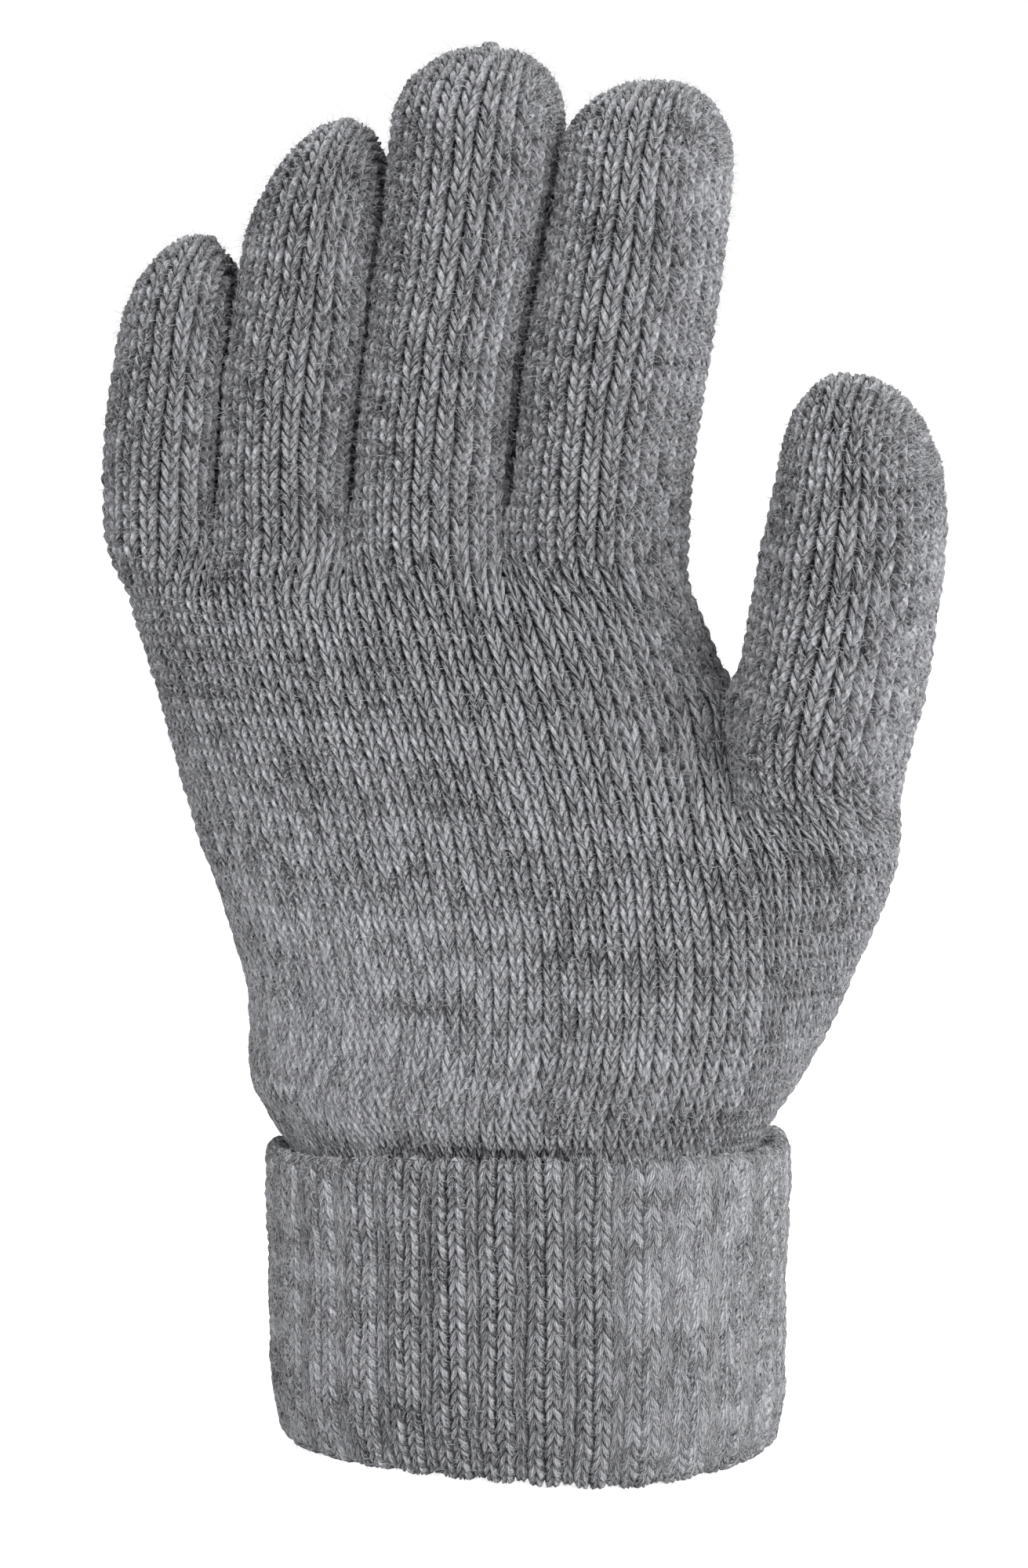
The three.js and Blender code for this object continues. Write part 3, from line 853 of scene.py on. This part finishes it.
def fuzz_on(name, grid, material, seed):
    """Loose fibres that stand off a sheet of stitches: thin, bent, three-sided spikes."""
    rng = np.random.default_rng(seed)
    columns = grid.points.shape[1]
    corner = grid.points
    span = np.cross(corner[1:, :-1] - corner[:-1, :-1], corner[:-1, 1:] - corner[:-1, :-1])
    area = np.linalg.norm(span, axis=-1).ravel()
    count = int(area.sum() / 100.0 * FUZZ_PER_CM2)  # 100 square millimetres to a cm2
    pick = rng.choice(area.size, size=count, p=area / area.sum())
    r, c = pick // (columns - 1), pick % (columns - 1)
    t, u = rng.random((2, count, 1))
    low = mix(corner[r, c], corner[r, c + 1], u)
    high = mix(corner[r + 1, c], corner[r + 1, c + 1], u)
    root = mix(low, high, t)
    normal = grid.normals[r, c]
    wander = rng.normal(size=(count, 3))
    flat = wander - normal * np.sum(wander * normal, -1, keepdims=True)
    flat /= np.linalg.norm(flat, axis=-1, keepdims=True)
    stand = rng.uniform(0.1, 1.0, (count, 1)) ** 1.5
    long = FUZZ_LONG * rng.uniform(0.5, 1.5, (count, 1))
    curl = rng.normal(size=(count, 3)) * FUZZ_CURL
    first = normal * stand + flat * (1.1 - stand)
    second = first * 0.55 + flat * 0.5 + curl
    joints = (
        root - normal * FUZZ_BURIED,
        root + first * long * 0.5,
        root + (first * 0.5 + second * 0.5) * long,
    )
    side = np.cross(first, wander)
    side /= np.linalg.norm(side, axis=-1, keepdims=True)
    other = np.cross(first, side)
    other /= np.linalg.norm(other, axis=-1, keepdims=True)
    points = []
    for joint, width in zip(joints[:2], (FUZZ_WIDE / 2, FUZZ_WIDE / FUZZ_TAPER)):
        for angle in np.linspace(0, 2 * math.pi, FUZZ_SIDES + 1)[:-1]:
            points.append(joint + width * (side * math.cos(angle) + other * math.sin(angle)))
    points.append(joints[2])
    points = np.stack(points, 1)
    points[..., 2] = np.maximum(points[..., 2], RESTING)
    start = np.arange(count)[:, None] * FUZZ_POINTS
    walls = []
    for k in range(FUZZ_SIDES):
        n = (k + 1) % FUZZ_SIDES
        low, high, tip = FUZZ_SIDES + k, FUZZ_SIDES + n, FUZZ_POINTS - 1
        walls += [(k, n, high), (k, high, low), (low, high, tip)]
    faces = (start[:, :, None] + np.array(walls)[None]).reshape(-1, 3)
    return new_piece(name, new_mesh(name, points, faces), material)


def knit(name, grid, finish, nodes, body=None, bend=None, flip=False, fuzz=True):
    """A knitted piece and its fuzz, riding one body, or left in place with its transform baked when
    a bend is given.
    """
    piece = add_grid(name, grid, finish, flip)
    made = [piece]
    if fuzz:
        seed = FUZZ_SEED + len(name)
        made.append(fuzz_on(name.replace("knit", "fuzz"), grid, fuzz_finish(), seed))
    for item in made:
        if bend:
            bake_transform(item)
        else:
            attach(item, body)
    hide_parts(*nodes)
    return piece


# Materials -----------------------------------------------------------------------------

# Painted shade in the hollows between the stitches, darkening the yarn's colour: how sharply it
# gathers, and how deep it is.
LIP_POWER, LIP_SHADE = 4.0, 0.75
RIM_POWER, RIM_SHADE = 2.6, 0.95
CREASE_POWER, CREASE_SHADE = 4.0, 0.7
FELTED_SHADE = (1.35, -0.35)  # factor and offset from crispness to shade
# The dark colour that the painted shade in the hollows darkens the yarn towards.
PAINTED_SHADE_COLOUR = (0.05, 0.05, 0.055, 1)

# How much each part of the yarn moves the tone between its dark and its light fibres.
FIBRE_TONE = 2.4
STRAND_TONE = 1.9
LEG_TONE = 0.34
BAND_TONE = 0.7
PATCH_TONE = 0.4
PLY_TONE = 0.07
PLY_TURNS = 2.6
PLY_LEAN = 0.45
PLY_HEIGHT = 0.5

WOOL_SURFACE = {
    "Roughness": 0.95,
    "Specular IOR Level": 0.1,
    "Sheen Weight": 0.15,
    "Sheen Roughness": 0.5,
}
FUZZ_SURFACE = {
    "Base Color": (0.46, 0.465, 0.48, 1),
    "Roughness": 0.9,
    "Specular IOR Level": 0.2,
}
BUMP_STRENGTH = 1.0
BUMP_DISTANCE = 0.45 * MM


def socket(group, name, kind, way, value=None):
    """A named input or output on a shader group."""
    made = group.interface.new_socket(name=name, in_out=way, socket_type=kind)
    if value is not None:
        made.default_value = value
    return made


def math_node(tree, operation, a, b=None, c=None, clamp=False):
    """A Math node fed by numbers or sockets; returns its output."""
    node = tree.nodes.new("ShaderNodeMath")
    node.operation = operation
    node.use_clamp = clamp
    for k, value in enumerate((a, b, c)):
        if value is None:
            continue
        if isinstance(value, (int, float)):
            node.inputs[k].default_value = value
        else:
            tree.links.new(value, node.inputs[k])
    return node.outputs[0]


def heather_group():
    """Heathered yarn: colour and height of fibres and plies, laid along each stitch leg, with shade
    painted into the colour in the hollows between stitches.
    """
    made = bpy.data.node_groups.get("Heathered yarn")
    if made:
        return made
    tree = bpy.data.node_groups.new("Heathered yarn", "ShaderNodeTree")
    socket(tree, "Dark", "NodeSocketColor", "INPUT", (0.03, 0.03, 0.035, 1))
    socket(tree, "Light", "NodeSocketColor", "INPUT", (0.5, 0.5, 0.52, 1))
    socket(tree, "Contrast", "NodeSocketFloat", "INPUT", 1.0)
    socket(tree, "Colour", "NodeSocketColor", "OUTPUT")
    socket(tree, "Height", "NodeSocketFloat", "OUTPUT")
    entry = tree.nodes.new("NodeGroupInput")
    leave = tree.nodes.new("NodeGroupOutput")
    link = tree.links.new
    uv = tree.nodes.new("ShaderNodeUVMap")
    uv.uv_map = "Stitch"
    split = tree.nodes.new("ShaderNodeSeparateXYZ")
    link(uv.outputs[0], split.inputs[0])
    across, along = split.outputs[0], split.outputs[1]

    def work(operation, *values, clamp=False):
        return math_node(tree, operation, *values, clamp=clamp)

    def noise(scale_x, scale_y, detail, rough, place):
        """Noise along the legs; place, a number or a socket, picks the part of the noise."""
        spot = tree.nodes.new("ShaderNodeCombineXYZ")
        link(work("MULTIPLY", across, scale_x), spot.inputs[0])
        link(work("MULTIPLY", along, scale_y), spot.inputs[1])
        if isinstance(place, float):
            spot.inputs[2].default_value = place
        else:
            link(place, spot.inputs[2])
        node = tree.nodes.new("ShaderNodeTexNoise")
        node.inputs["Scale"].default_value = 1.0
        node.inputs["Detail"].default_value = detail
        node.inputs["Roughness"].default_value = rough
        link(spot.outputs[0], node.inputs["Vector"])
        return node.outputs["Fac"]

    cell = tree.nodes.new("ShaderNodeCombineXYZ")
    link(work("FLOOR", across), cell.inputs[0])
    link(work("FLOOR", along), cell.inputs[1])
    chance = tree.nodes.new("ShaderNodeTexWhiteNoise")
    chance.noise_dimensions = "2D"
    link(cell.outputs[0], chance.inputs["Vector"])
    each = chance.outputs["Value"]  # one random number for each leg

    # Painted shade in the hollows: between two courses of legs, between two wales, and down a wale's
    # middle.
    from_middle = work("SUBTRACT", work("FLOORED_MODULO", across, 2.0), 1.0)
    edge = work("ABSOLUTE", from_middle)
    crosswise = work("MULTIPLY_ADD", work("FRACT", along), 2.0, -1.0)
    lip = work("POWER", work("ABSOLUTE", crosswise), LIP_POWER)
    rim = work("POWER", edge, RIM_POWER)
    crease = work("POWER", work("SUBTRACT", 1.0, edge), CREASE_POWER)
    painted_shade = work("MULTIPLY", lip, LIP_SHADE)
    painted_shade = work("MAXIMUM", painted_shade, work("MULTIPLY", rim, RIM_SHADE))
    painted_shade = work("MAXIMUM", painted_shade, work("MULTIPLY", crease, CREASE_SHADE))
    # Crisp stitches get deeper painted shade, felted ones less.
    crisp = tree.nodes.new("ShaderNodeAttribute")
    crisp.attribute_name = "Crispness"
    sharp = work("MULTIPLY_ADD", crisp.outputs["Fac"], *FELTED_SHADE, clamp=True)
    painted_shade = work("MULTIPLY", painted_shade, sharp)

    fibres = noise(2.0, 8.0, 4.0, 0.75, work("MULTIPLY", each, 60.0))
    strands = noise(7.0, 4.4, 4.0, 0.75, 17.0)
    bands = noise(0.02, 0.45, 3.0, 0.7, 29.0)
    patches = noise(0.16, 0.12, 2.0, 0.5, 41.0)
    twist = work("MULTIPLY_ADD", edge, PLY_TURNS, work("MULTIPLY", crosswise, PLY_LEAN))
    ply = work("SINE", work("MULTIPLY", twist, 2 * math.pi))

    tone = work("MULTIPLY_ADD", fibres, FIBRE_TONE, -FIBRE_TONE / 2)
    for part, strength in (
        (strands, STRAND_TONE),
        (each, LEG_TONE),
        (bands, BAND_TONE),
        (patches, PATCH_TONE),
    ):
        tone = work("ADD", tone, work("MULTIPLY_ADD", part, strength, -strength / 2))
    tone = work("MULTIPLY_ADD", ply, PLY_TONE, tone)
    tone = work("MULTIPLY", tone, entry.outputs["Contrast"])
    tone = work("ADD", tone, 0.5, clamp=True)
    blend = tree.nodes.new("ShaderNodeMix")
    blend.data_type = "RGBA"
    link(tone, blend.inputs["Factor"])
    link(entry.outputs["Dark"], blend.inputs["A"])
    link(entry.outputs["Light"], blend.inputs["B"])
    # The yarn's colour multiplied towards the painted shade colour in the hollows.
    shade_mix = tree.nodes.new("ShaderNodeMix")
    shade_mix.data_type = "RGBA"
    shade_mix.blend_type = "MULTIPLY"
    link(painted_shade, shade_mix.inputs["Factor"])
    link(blend.outputs["Result"], shade_mix.inputs["A"])
    shade_mix.inputs["B"].default_value = PAINTED_SHADE_COLOUR
    link(shade_mix.outputs["Result"], leave.inputs["Colour"])
    link(work("MULTIPLY_ADD", ply, PLY_HEIGHT, fibres), leave.inputs["Height"])
    return tree


def new_material(name, values):
    """A material whose surface shader has the given values, and that shader."""
    material = bpy.data.materials.new(name)
    material.use_nodes = True
    surface = material.node_tree.nodes["Principled BSDF"]
    for key, value in values.items():
        surface.inputs[key].default_value = value
    return material, surface


def yarn_finish(name, scale=1.0):
    """A matt wool finish from the heathered yarn group, its colours scaled."""
    made = bpy.data.materials.get(name)
    if made:
        return made
    setting = bpy.context.scene.glove_yarn
    material, surface = new_material(name, WOOL_SURFACE)
    tree = material.node_tree
    yarn = tree.nodes.new("ShaderNodeGroup")
    yarn.node_tree = heather_group()
    for key, colour in (("Dark", setting.dark), ("Light", setting.light)):
        yarn.inputs[key].default_value = (*(min(1.0, c * scale) for c in colour), 1)
    yarn.inputs["Contrast"].default_value = setting.contrast
    relief = tree.nodes.new("ShaderNodeBump")
    relief.inputs["Strength"].default_value = BUMP_STRENGTH
    relief.inputs["Distance"].default_value = BUMP_DISTANCE
    tree.links.new(yarn.outputs["Colour"], surface.inputs["Base Color"])
    tree.links.new(yarn.outputs["Height"], relief.inputs["Height"])
    tree.links.new(relief.outputs["Normal"], surface.inputs["Normal"])
    return material


def fuzz_finish():
    """Loose fibres are one plain colour."""
    return bpy.data.materials.get("loose fibres") or new_material("loose fibres", FUZZ_SURFACE)[0]


# Settings ------------------------------------------------------------------------------


class GloveYarn(bpy.types.PropertyGroup):
    """Colours of the heathered wool."""

    dark: bpy.props.FloatVectorProperty(
        name="Dark fibre",
        description="Colour of the darkest fibres in the yarn",
        subtype="COLOR",
        size=3,
        min=0.0,
        max=1.0,
        default=(0.022, 0.0225, 0.027),
    )
    light: bpy.props.FloatVectorProperty(
        name="Light fibre",
        description="Colour of the palest fibres in the yarn",
        subtype="COLOR",
        size=3,
        min=0.0,
        max=1.0,
        default=(0.50, 0.505, 0.53),
    )
    contrast: bpy.props.FloatProperty(
        name="Heather contrast",
        description="How strongly dark and pale fibres differ along the yarn",
        default=1.2,
        min=0.0,
        max=2.0,
    )


class GloveStage(bpy.types.PropertyGroup):
    """Floor, light and viewpoint."""

    azimuth: bpy.props.FloatProperty(
        name="View azimuth",
        description="How far the viewpoint stands round to the thumb side",
        subtype="ANGLE",
        default=math.radians(18),
    )
    distance: bpy.props.FloatProperty(
        name="View distance",
        description="Level distance from the glove to the viewpoint",
        unit="LENGTH",
        default=0.700,
    )
    height: bpy.props.FloatProperty(
        name="View height",
        description="Height of the viewpoint above the floor",
        unit="LENGTH",
        default=0.220,
    )
    lens: bpy.props.FloatProperty(
        name="Lens",
        description="Focal length on a sensor 24 mm tall",
        default=61.1,
        min=10.0,
    )


# Pieces --------------------------------------------------------------------------------

HAND_SEED = 5
FINGER_SEED = 11  # and one more for each finger
THUMB_SEED = 17
CUFF_SEED = 3
CUFF_SCALE = 1.12  # the cuff's yarn is a little lighter

# The heights, from each hinge, that go with each piece as its bend; the knit step only looks at
# whether a bend is given.
KNUCKLE_BEND = (-6, 8)
JOINT_BEND = (-6, 6)
THUMB_BASE_BEND = (137, 151)  # from the floor
WRIST_BEND = ((-0.002, 0, 0.059), (-0.002, 0, 0.073))

# How far above halfway between two hinges one knitted piece ends and the next begins.
FIRST_CUT = 3
SECOND_CUT = 1
THUMB_CUT = 2
SEAM_ROOM = 4


def ring_strips(front):
    """Strips across one half of the hand below the finger crotches, left to right."""
    strips = []
    for name in FINGERS:
        a, b, c, d = corners(name)
        strips.append((name, a, b) if front else (name, c, d))
    return strips if front else strips[::-1]


class GLOVE_OT_hand(bpy.types.Operator):
    """Knit the wrist and the palm"""

    bl_idname = "glove.hand"
    bl_label = "Wrist and palm"

    def execute(self, context):
        finish = yarn_finish("hand wool")
        thumb = corners("thumb")
        little = corners("little")
        index = corners("index")
        ring = ring_count("little")
        front = [("little", 0.0, HALF_SIDE)] + ring_strips(True)
        wide_front = front + [("thumb", thumb[0], thumb[1] + HALF_SIDE)]
        back = ring_strips(False) + [("little", little[3], float(ring))]
        wide_back = [("thumb", thumb[1] + HALF_SIDE, thumb[3])] + back
        grid = knit_grid(wide_front + wide_back, 0, WRIST_COURSE, HAND_SEED)
        bend = ("cuff", "hand", *WRIST_BEND)
        knit("wrist_knit", grid, finish, ("wrist_fold",), bend=bend)
        upper_front = front + [("index", index[1], index[1] + HALF_SIDE)]
        upper_back = [("index", index[1] + HALF_SIDE, index[2])] + back
        for name, strips, first, last in (
            ("palm_front_knit", wide_front, WRIST_COURSE, THUMB_COURSE),
            ("palm_back_knit", wide_back, WRIST_COURSE, THUMB_COURSE),
            ("knuckle_front_knit", upper_front, THUMB_COURSE, HAND_COURSES),
            ("knuckle_back_knit", upper_back, THUMB_COURSE, HAND_COURSES),
        ):
            grid = knit_grid(strips, first, last, HAND_SEED)
            knit(name, grid, finish, ("palm_shell",), body="hand")
        return {"FINISHED"}


def seam_course(name):
    """The course at which a digit's crown is closed."""
    return math.ceil((crown_start(name) - WRIST_Z + SEAM_ROOM) / COURSE + crown_courses(name))


def course_at(z):
    """The course nearest to a height."""
    return int(round((z - WRIST_Z) / COURSE))


def whole_ring(name, first, last, seed):
    """A digit's stitches all the way round, from course to course."""
    return knit_grid([(name, 0.0, float(ring_count(name)))], first, last, seed)


def point_on(name, z):
    """The digit's centre line at a height, in metres."""
    x, y, _, _ = centre_line(name, np.array([float(z)]))
    return (float(x[0]) * MM, float(y[0]) * MM, z * MM)


class GLOVE_OT_fingers(bpy.types.Operator):
    """Knit the four fingers, in one piece for each joint they bend at"""

    bl_idname = "glove.fingers"
    bl_label = "Fingers"

    def execute(self, context):
        finish = yarn_finish("hand wool")
        for k, name in enumerate(FINGERS):
            hinges = [HINGE[h][2] for h in hinge_names(name)]
            first_cut = course_at((hinges[0] + hinges[1]) / 2 + FIRST_CUT)
            second_cut = course_at((hinges[1] + hinges[2]) / 2 + SECOND_CUT)
            bodies = ("hand", f"{name}_lower", f"{name}_mid", f"{name}_tip")
            cuts = (HAND_COURSES, first_cut, second_cut, seam_course(name))
            spans = (KNUCKLE_BEND, JOINT_BEND, JOINT_BEND)
            labels = ("root", "middle", "tip")
            nodes = (
                (f"{name}_lower_stall", f"{name}_knuckle_fold"),
                (f"{name}_middle_stall", f"{name}_middle_fold"),
                (f"{name}_fingertip", f"{name}_tip_fold"),
            )
            for part in range(3):
                grid = whole_ring(name, cuts[part], cuts[part + 1], FINGER_SEED + k)
                low, high = (point_on(name, hinges[part] + z) for z in spans[part])
                bend = (bodies[part], bodies[part + 1], low, high)
                label = f"{name}_{labels[part]}_knit"
                knit(label, grid, finish, nodes[part], bend=bend)
        return {"FINISHED"}


class GLOVE_OT_thumb(bpy.types.Operator):
    """Knit the thumb, in one piece for each joint it bends at"""

    bl_idname = "glove.thumb"
    bl_label = "Thumb"

    def execute(self, context):
        finish = yarn_finish("hand wool")
        base, tip = (HINGE[h][2] for h in hinge_names("thumb"))
        cut = course_at((base + tip) / 2 + THUMB_CUT)
        grid = whole_ring("thumb", THUMB_COURSE, cut, THUMB_SEED)
        bend = ("hand", "thumb_lower", *(point_on("thumb", z) for z in THUMB_BASE_BEND))
        nodes = ("thumb_lower_stall", "thumb_base_fold")
        knit("thumb_root_knit", grid, finish, nodes, bend=bend)
        grid = whole_ring("thumb", cut, seam_course("thumb"), THUMB_SEED)
        nodes = ("thumb_thumbtip", "thumb_tip_fold")
        bend = ("thumb_lower", "thumb_tip", *(point_on("thumb", tip + z) for z in JOINT_BEND))
        knit("thumb_tip_knit", grid, finish, nodes, bend=bend)
        return {"FINISHED"}


KNOT_BESIDE = ("index", "thumb")  # the others are closed at the back of the crown
KNOT_WALE = 2.0  # wales and courses from the shoulder and the seam to the knot
KNOT_COURSE = 3.5
KNOT_STAND = 0.5
KNOT_STEPS = 48
KNOT_SIDES = 8
KNOT_SIZE = 0.36
KNOT_DEEP = 9  # how far below the knot the crown's centre is taken to be
KNOT_LEAN = (0.0, 0.3, 1.0)  # a direction that no part of the knot's path runs along
KNOT_LEGS = 9  # stitch legs that the yarn's colours run over along the knot
KNOT_LANE = (1.4, 1.6)
YARN_HALF = 0.55


def yarn_knot(name, centre, finish):
    """The drawn-through end of yarn that closes a crown: a small overhand knot."""
    turn = np.linspace(0, 2 * math.pi, KNOT_STEPS, endpoint=False)
    path = np.stack(
        [
            np.sin(turn) + 2 * np.sin(2 * turn),
            np.cos(turn) - 2 * np.cos(2 * turn),
            -np.sin(3 * turn),
        ],
        -1,
    )
    path = centre + path * KNOT_SIZE
    ahead = np.roll(path, -1, 0) - np.roll(path, 1, 0)
    ahead /= np.linalg.norm(ahead, axis=-1, keepdims=True)
    side = np.cross(ahead, KNOT_LEAN)
    side /= np.linalg.norm(side, axis=-1, keepdims=True)
    other = np.cross(ahead, side)
    angle = np.linspace(0, 2 * math.pi, KNOT_SIDES + 1)
    ring = side[:, None] * np.cos(angle)[:, None] + other[:, None] * np.sin(angle)[:, None]
    points = path[:, None] + ring * YARN_HALF
    points = np.concatenate([points, points[:1]])
    lane = np.linspace(*KNOT_LANE, KNOT_SIDES + 1)
    across, along = np.meshgrid(lane, np.linspace(0, KNOT_LEGS, KNOT_STEPS + 1))
    grid = Grid(points, across, along, points, np.zeros(points.shape[:2]))
    return add_grid(name, grid, finish)


class GLOVE_OT_knots(bpy.types.Operator):
    """Close each fingertip and the thumb's tip with the drawn-through end of its yarn"""

    bl_idname = "glove.knots"
    bl_label = "Closing knots"

    def execute(self, context):
        finish = yarn_finish("hand wool")
        for name in TUBE:
            shoulder = corners(name)[1] + HALF_SIDE - KNOT_WALE
            behind = corners(name)[2] + FRONT[name] / 2
            wale = np.array([shoulder if name in KNOT_BESIDE else behind])
            place = skin(name, wale, np.array([float(seam_course(name) - KNOT_COURSE)]))[0]
            x, y = centre_line(name, place[2:])[:2]
            inner = np.array([x[0], y[0], place[2] - KNOT_DEEP])
            out = (place - inner) / np.linalg.norm(place - inner)
            knot = yarn_knot(f"{name}_yarn_end", place + KNOT_STAND * out, finish)
            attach(knot, f"{name}_tip")
            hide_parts(f"{name}_closing_knot")
        return {"FINISHED"}


class GLOVE_OT_cuff(bpy.types.Operator):
    """Knit the ribbed cuff: its turn-up, its fold and the sleeve inside"""

    bl_idname = "glove.cuff"
    bl_label = "Cuff"

    def execute(self, context):
        finish = yarn_finish("cuff wool", CUFF_SCALE)
        lip = round((LIP_TUCK + LIP_TURN + LIP_DOWN) / CUFF_COURSE)
        outer = round((LIP_TUCK + LIP_TURN + OUTER_RUN) / CUFF_COURSE)
        fold = outer + round(FOLD_TURN / CUFF_COURSE)
        inner = fold + round(SLEEVE_RUN / CUFF_COURSE)
        parts = (
            ("cuff_lip_knit", 0, lip, ("cuff_welt",), "cuff_edge"),
            ("cuff_turn_up_knit", lip, outer, ("cuff_turn_up",), "cuff_rib"),
            ("cuff_fold_knit", outer, fold, ("cuff_fold",), "cuff_edge"),
            ("cuff_sleeve_knit", fold, inner, ("cuff_sleeve",), "cuff_rib"),
        )
        for name, first, last, nodes, slot in parts:
            grid = cuff_grid(first, last, CUFF_SEED)
            fuzz = name != "cuff_sleeve_knit"
            knit(name, grid, finish, nodes, body="cuff", flip=True, fuzz=fuzz)
        return {"FINISHED"}


# Stage ---------------------------------------------------------------------------------

AMBIENT = 0.30
FLOOR_HALF = 6.0
FLOOR_GLOW = 0.9  # of the floor where it is seen directly
FLOOR_SURFACE = {
    "Base Color": (0.9, 0.9, 0.9, 1),
    "Roughness": 0.9,
    "Emission Color": (1, 1, 1, 1),
}

# Panels: name, place, the point each one faces, size and power.
PANELS = (
    ("key", (0.85, -0.75, 0.65), (-0.01, 0, 0.13), (0.7, 0.7), 25.0),
    ("fill", (-0.9, -0.9, 0.4), (0, 0, 0.12), (0.8, 0.8), 7.0),
    ("top", (0.0, 0.1, 1.1), (0, 0, 0.1), (0.8, 0.8), 6.0),
)
AIM_HEIGHT = 0.121
AIM_ASIDE = -0.0027
SENSOR_HEIGHT = 24.0
NEAREST = 0.01


def light_panel(name, place, aim, size, power):
    """A rectangular soft light that faces a point."""
    data = bpy.data.lights.new(name, "AREA")
    data.shape = "RECTANGLE"
    data.size, data.size_y = size
    data.energy = power
    lamp = bpy.data.objects.new(name, data)
    lamp.location = place
    direction = np.array(aim) - np.array(place)
    lamp.rotation_euler = Vector(direction).to_track_quat("-Z", "Y").to_euler()
    bpy.context.scene.collection.objects.link(lamp)


class GLOVE_OT_stage(bpy.types.Operator):
    """Lay the floor and set the light and the viewpoint"""

    bl_idname = "glove.stage"
    bl_label = "Floor, light and viewpoint"

    def execute(self, context):
        scene = context.scene
        setting = scene.glove_stage
        mesh = bpy.data.meshes.new("floor")
        half, low = FLOOR_HALF, CAD_BOX[0][2]
        mesh.from_pydata(
            [(-half, -half, low), (half, -half, low), (half, half, low), (-half, half, low)],
            [],
            [(0, 1, 2, 3)],
        )
        floor = bpy.data.objects.new("floor", mesh)
        scene.collection.objects.link(floor)
        pale, surface = new_material("pale floor", FLOOR_SURFACE)
        seen = pale.node_tree.nodes.new("ShaderNodeLightPath").outputs["Is Camera Ray"]
        glow = math_node(pale.node_tree, "MULTIPLY", seen, FLOOR_GLOW)
        pale.node_tree.links.new(glow, surface.inputs["Emission Strength"])
        mesh.materials.append(pale)

        world = bpy.data.worlds.new("studio")
        world.use_nodes = True
        tree = world.node_tree
        around = tree.nodes["Background"]
        around.inputs["Color"].default_value = (1, 1, 1, 1)
        seen = tree.nodes.new("ShaderNodeLightPath").outputs["Is Camera Ray"]
        level = math_node(tree, "MULTIPLY_ADD", seen, 1.0 - AMBIENT, AMBIENT)
        tree.links.new(level, around.inputs["Strength"])
        scene.world = world
        for panel in PANELS:
            light_panel(*panel)

        data = bpy.data.cameras.new("viewpoint")
        data.sensor_fit = "VERTICAL"
        data.sensor_height = SENSOR_HEIGHT
        data.lens = setting.lens
        data.clip_start = NEAREST
        camera = bpy.data.objects.new("viewpoint", data)
        right = Vector((math.cos(setting.azimuth), math.sin(setting.azimuth), 0))
        towards = Vector((math.sin(setting.azimuth), -math.cos(setting.azimuth), 0))
        aside = right * AIM_ASIDE
        place = towards * setting.distance + Vector((0, 0, setting.height)) + aside
        aim = Vector((0, 0, AIM_HEIGHT)) + aside
        camera.location = place
        camera.rotation_euler = (aim - place).to_track_quat("-Z", "Y").to_euler()
        scene.collection.objects.link(camera)
        scene.camera = camera
        scene.view_settings.view_transform = "Standard"
        return {"FINISHED"}


# Panel and registration ----------------------------------------------------------------

STEPS = (
    GLOVE_OT_hand,
    GLOVE_OT_fingers,
    GLOVE_OT_thumb,
    GLOVE_OT_knots,
    GLOVE_OT_cuff,
    GLOVE_OT_stage,
)


class GLOVE_PT_panel(bpy.types.Panel):
    """Lists the glove's steps in the sidebar"""

    bl_idname = "GLOVE_PT_panel"
    bl_label = "Knitted glove"
    bl_space_type = "VIEW_3D"
    bl_region_type = "UI"
    bl_category = "Glove"

    def draw(self, context):
        layout = self.layout
        yarn = context.scene.glove_yarn
        for field in ("dark", "light", "contrast"):
            layout.prop(yarn, field)
        for step in STEPS:
            layout.operator(step.bl_idname)


CLASSES = (GloveYarn, GloveStage, *STEPS, GLOVE_PT_panel)


def register():
    """Makes the glove's settings, steps and panel known to Blender."""
    for item in CLASSES:
        bpy.utils.register_class(item)
    bpy.types.Scene.glove_yarn = bpy.props.PointerProperty(type=GloveYarn)
    bpy.types.Scene.glove_stage = bpy.props.PointerProperty(type=GloveStage)


def unregister():
    """Undoes register."""
    del bpy.types.Scene.glove_stage
    del bpy.types.Scene.glove_yarn
    for item in reversed(CLASSES):
        bpy.utils.unregister_class(item)


def main():
    """Builds the glove step by step."""
    register()
    bpy.ops.glove.hand()
    bpy.ops.glove.fingers()
    bpy.ops.glove.thumb()
    bpy.ops.glove.knots()
    bpy.ops.glove.cuff()
    bpy.ops.glove.stage()


if __name__ == "__main__":
    main()
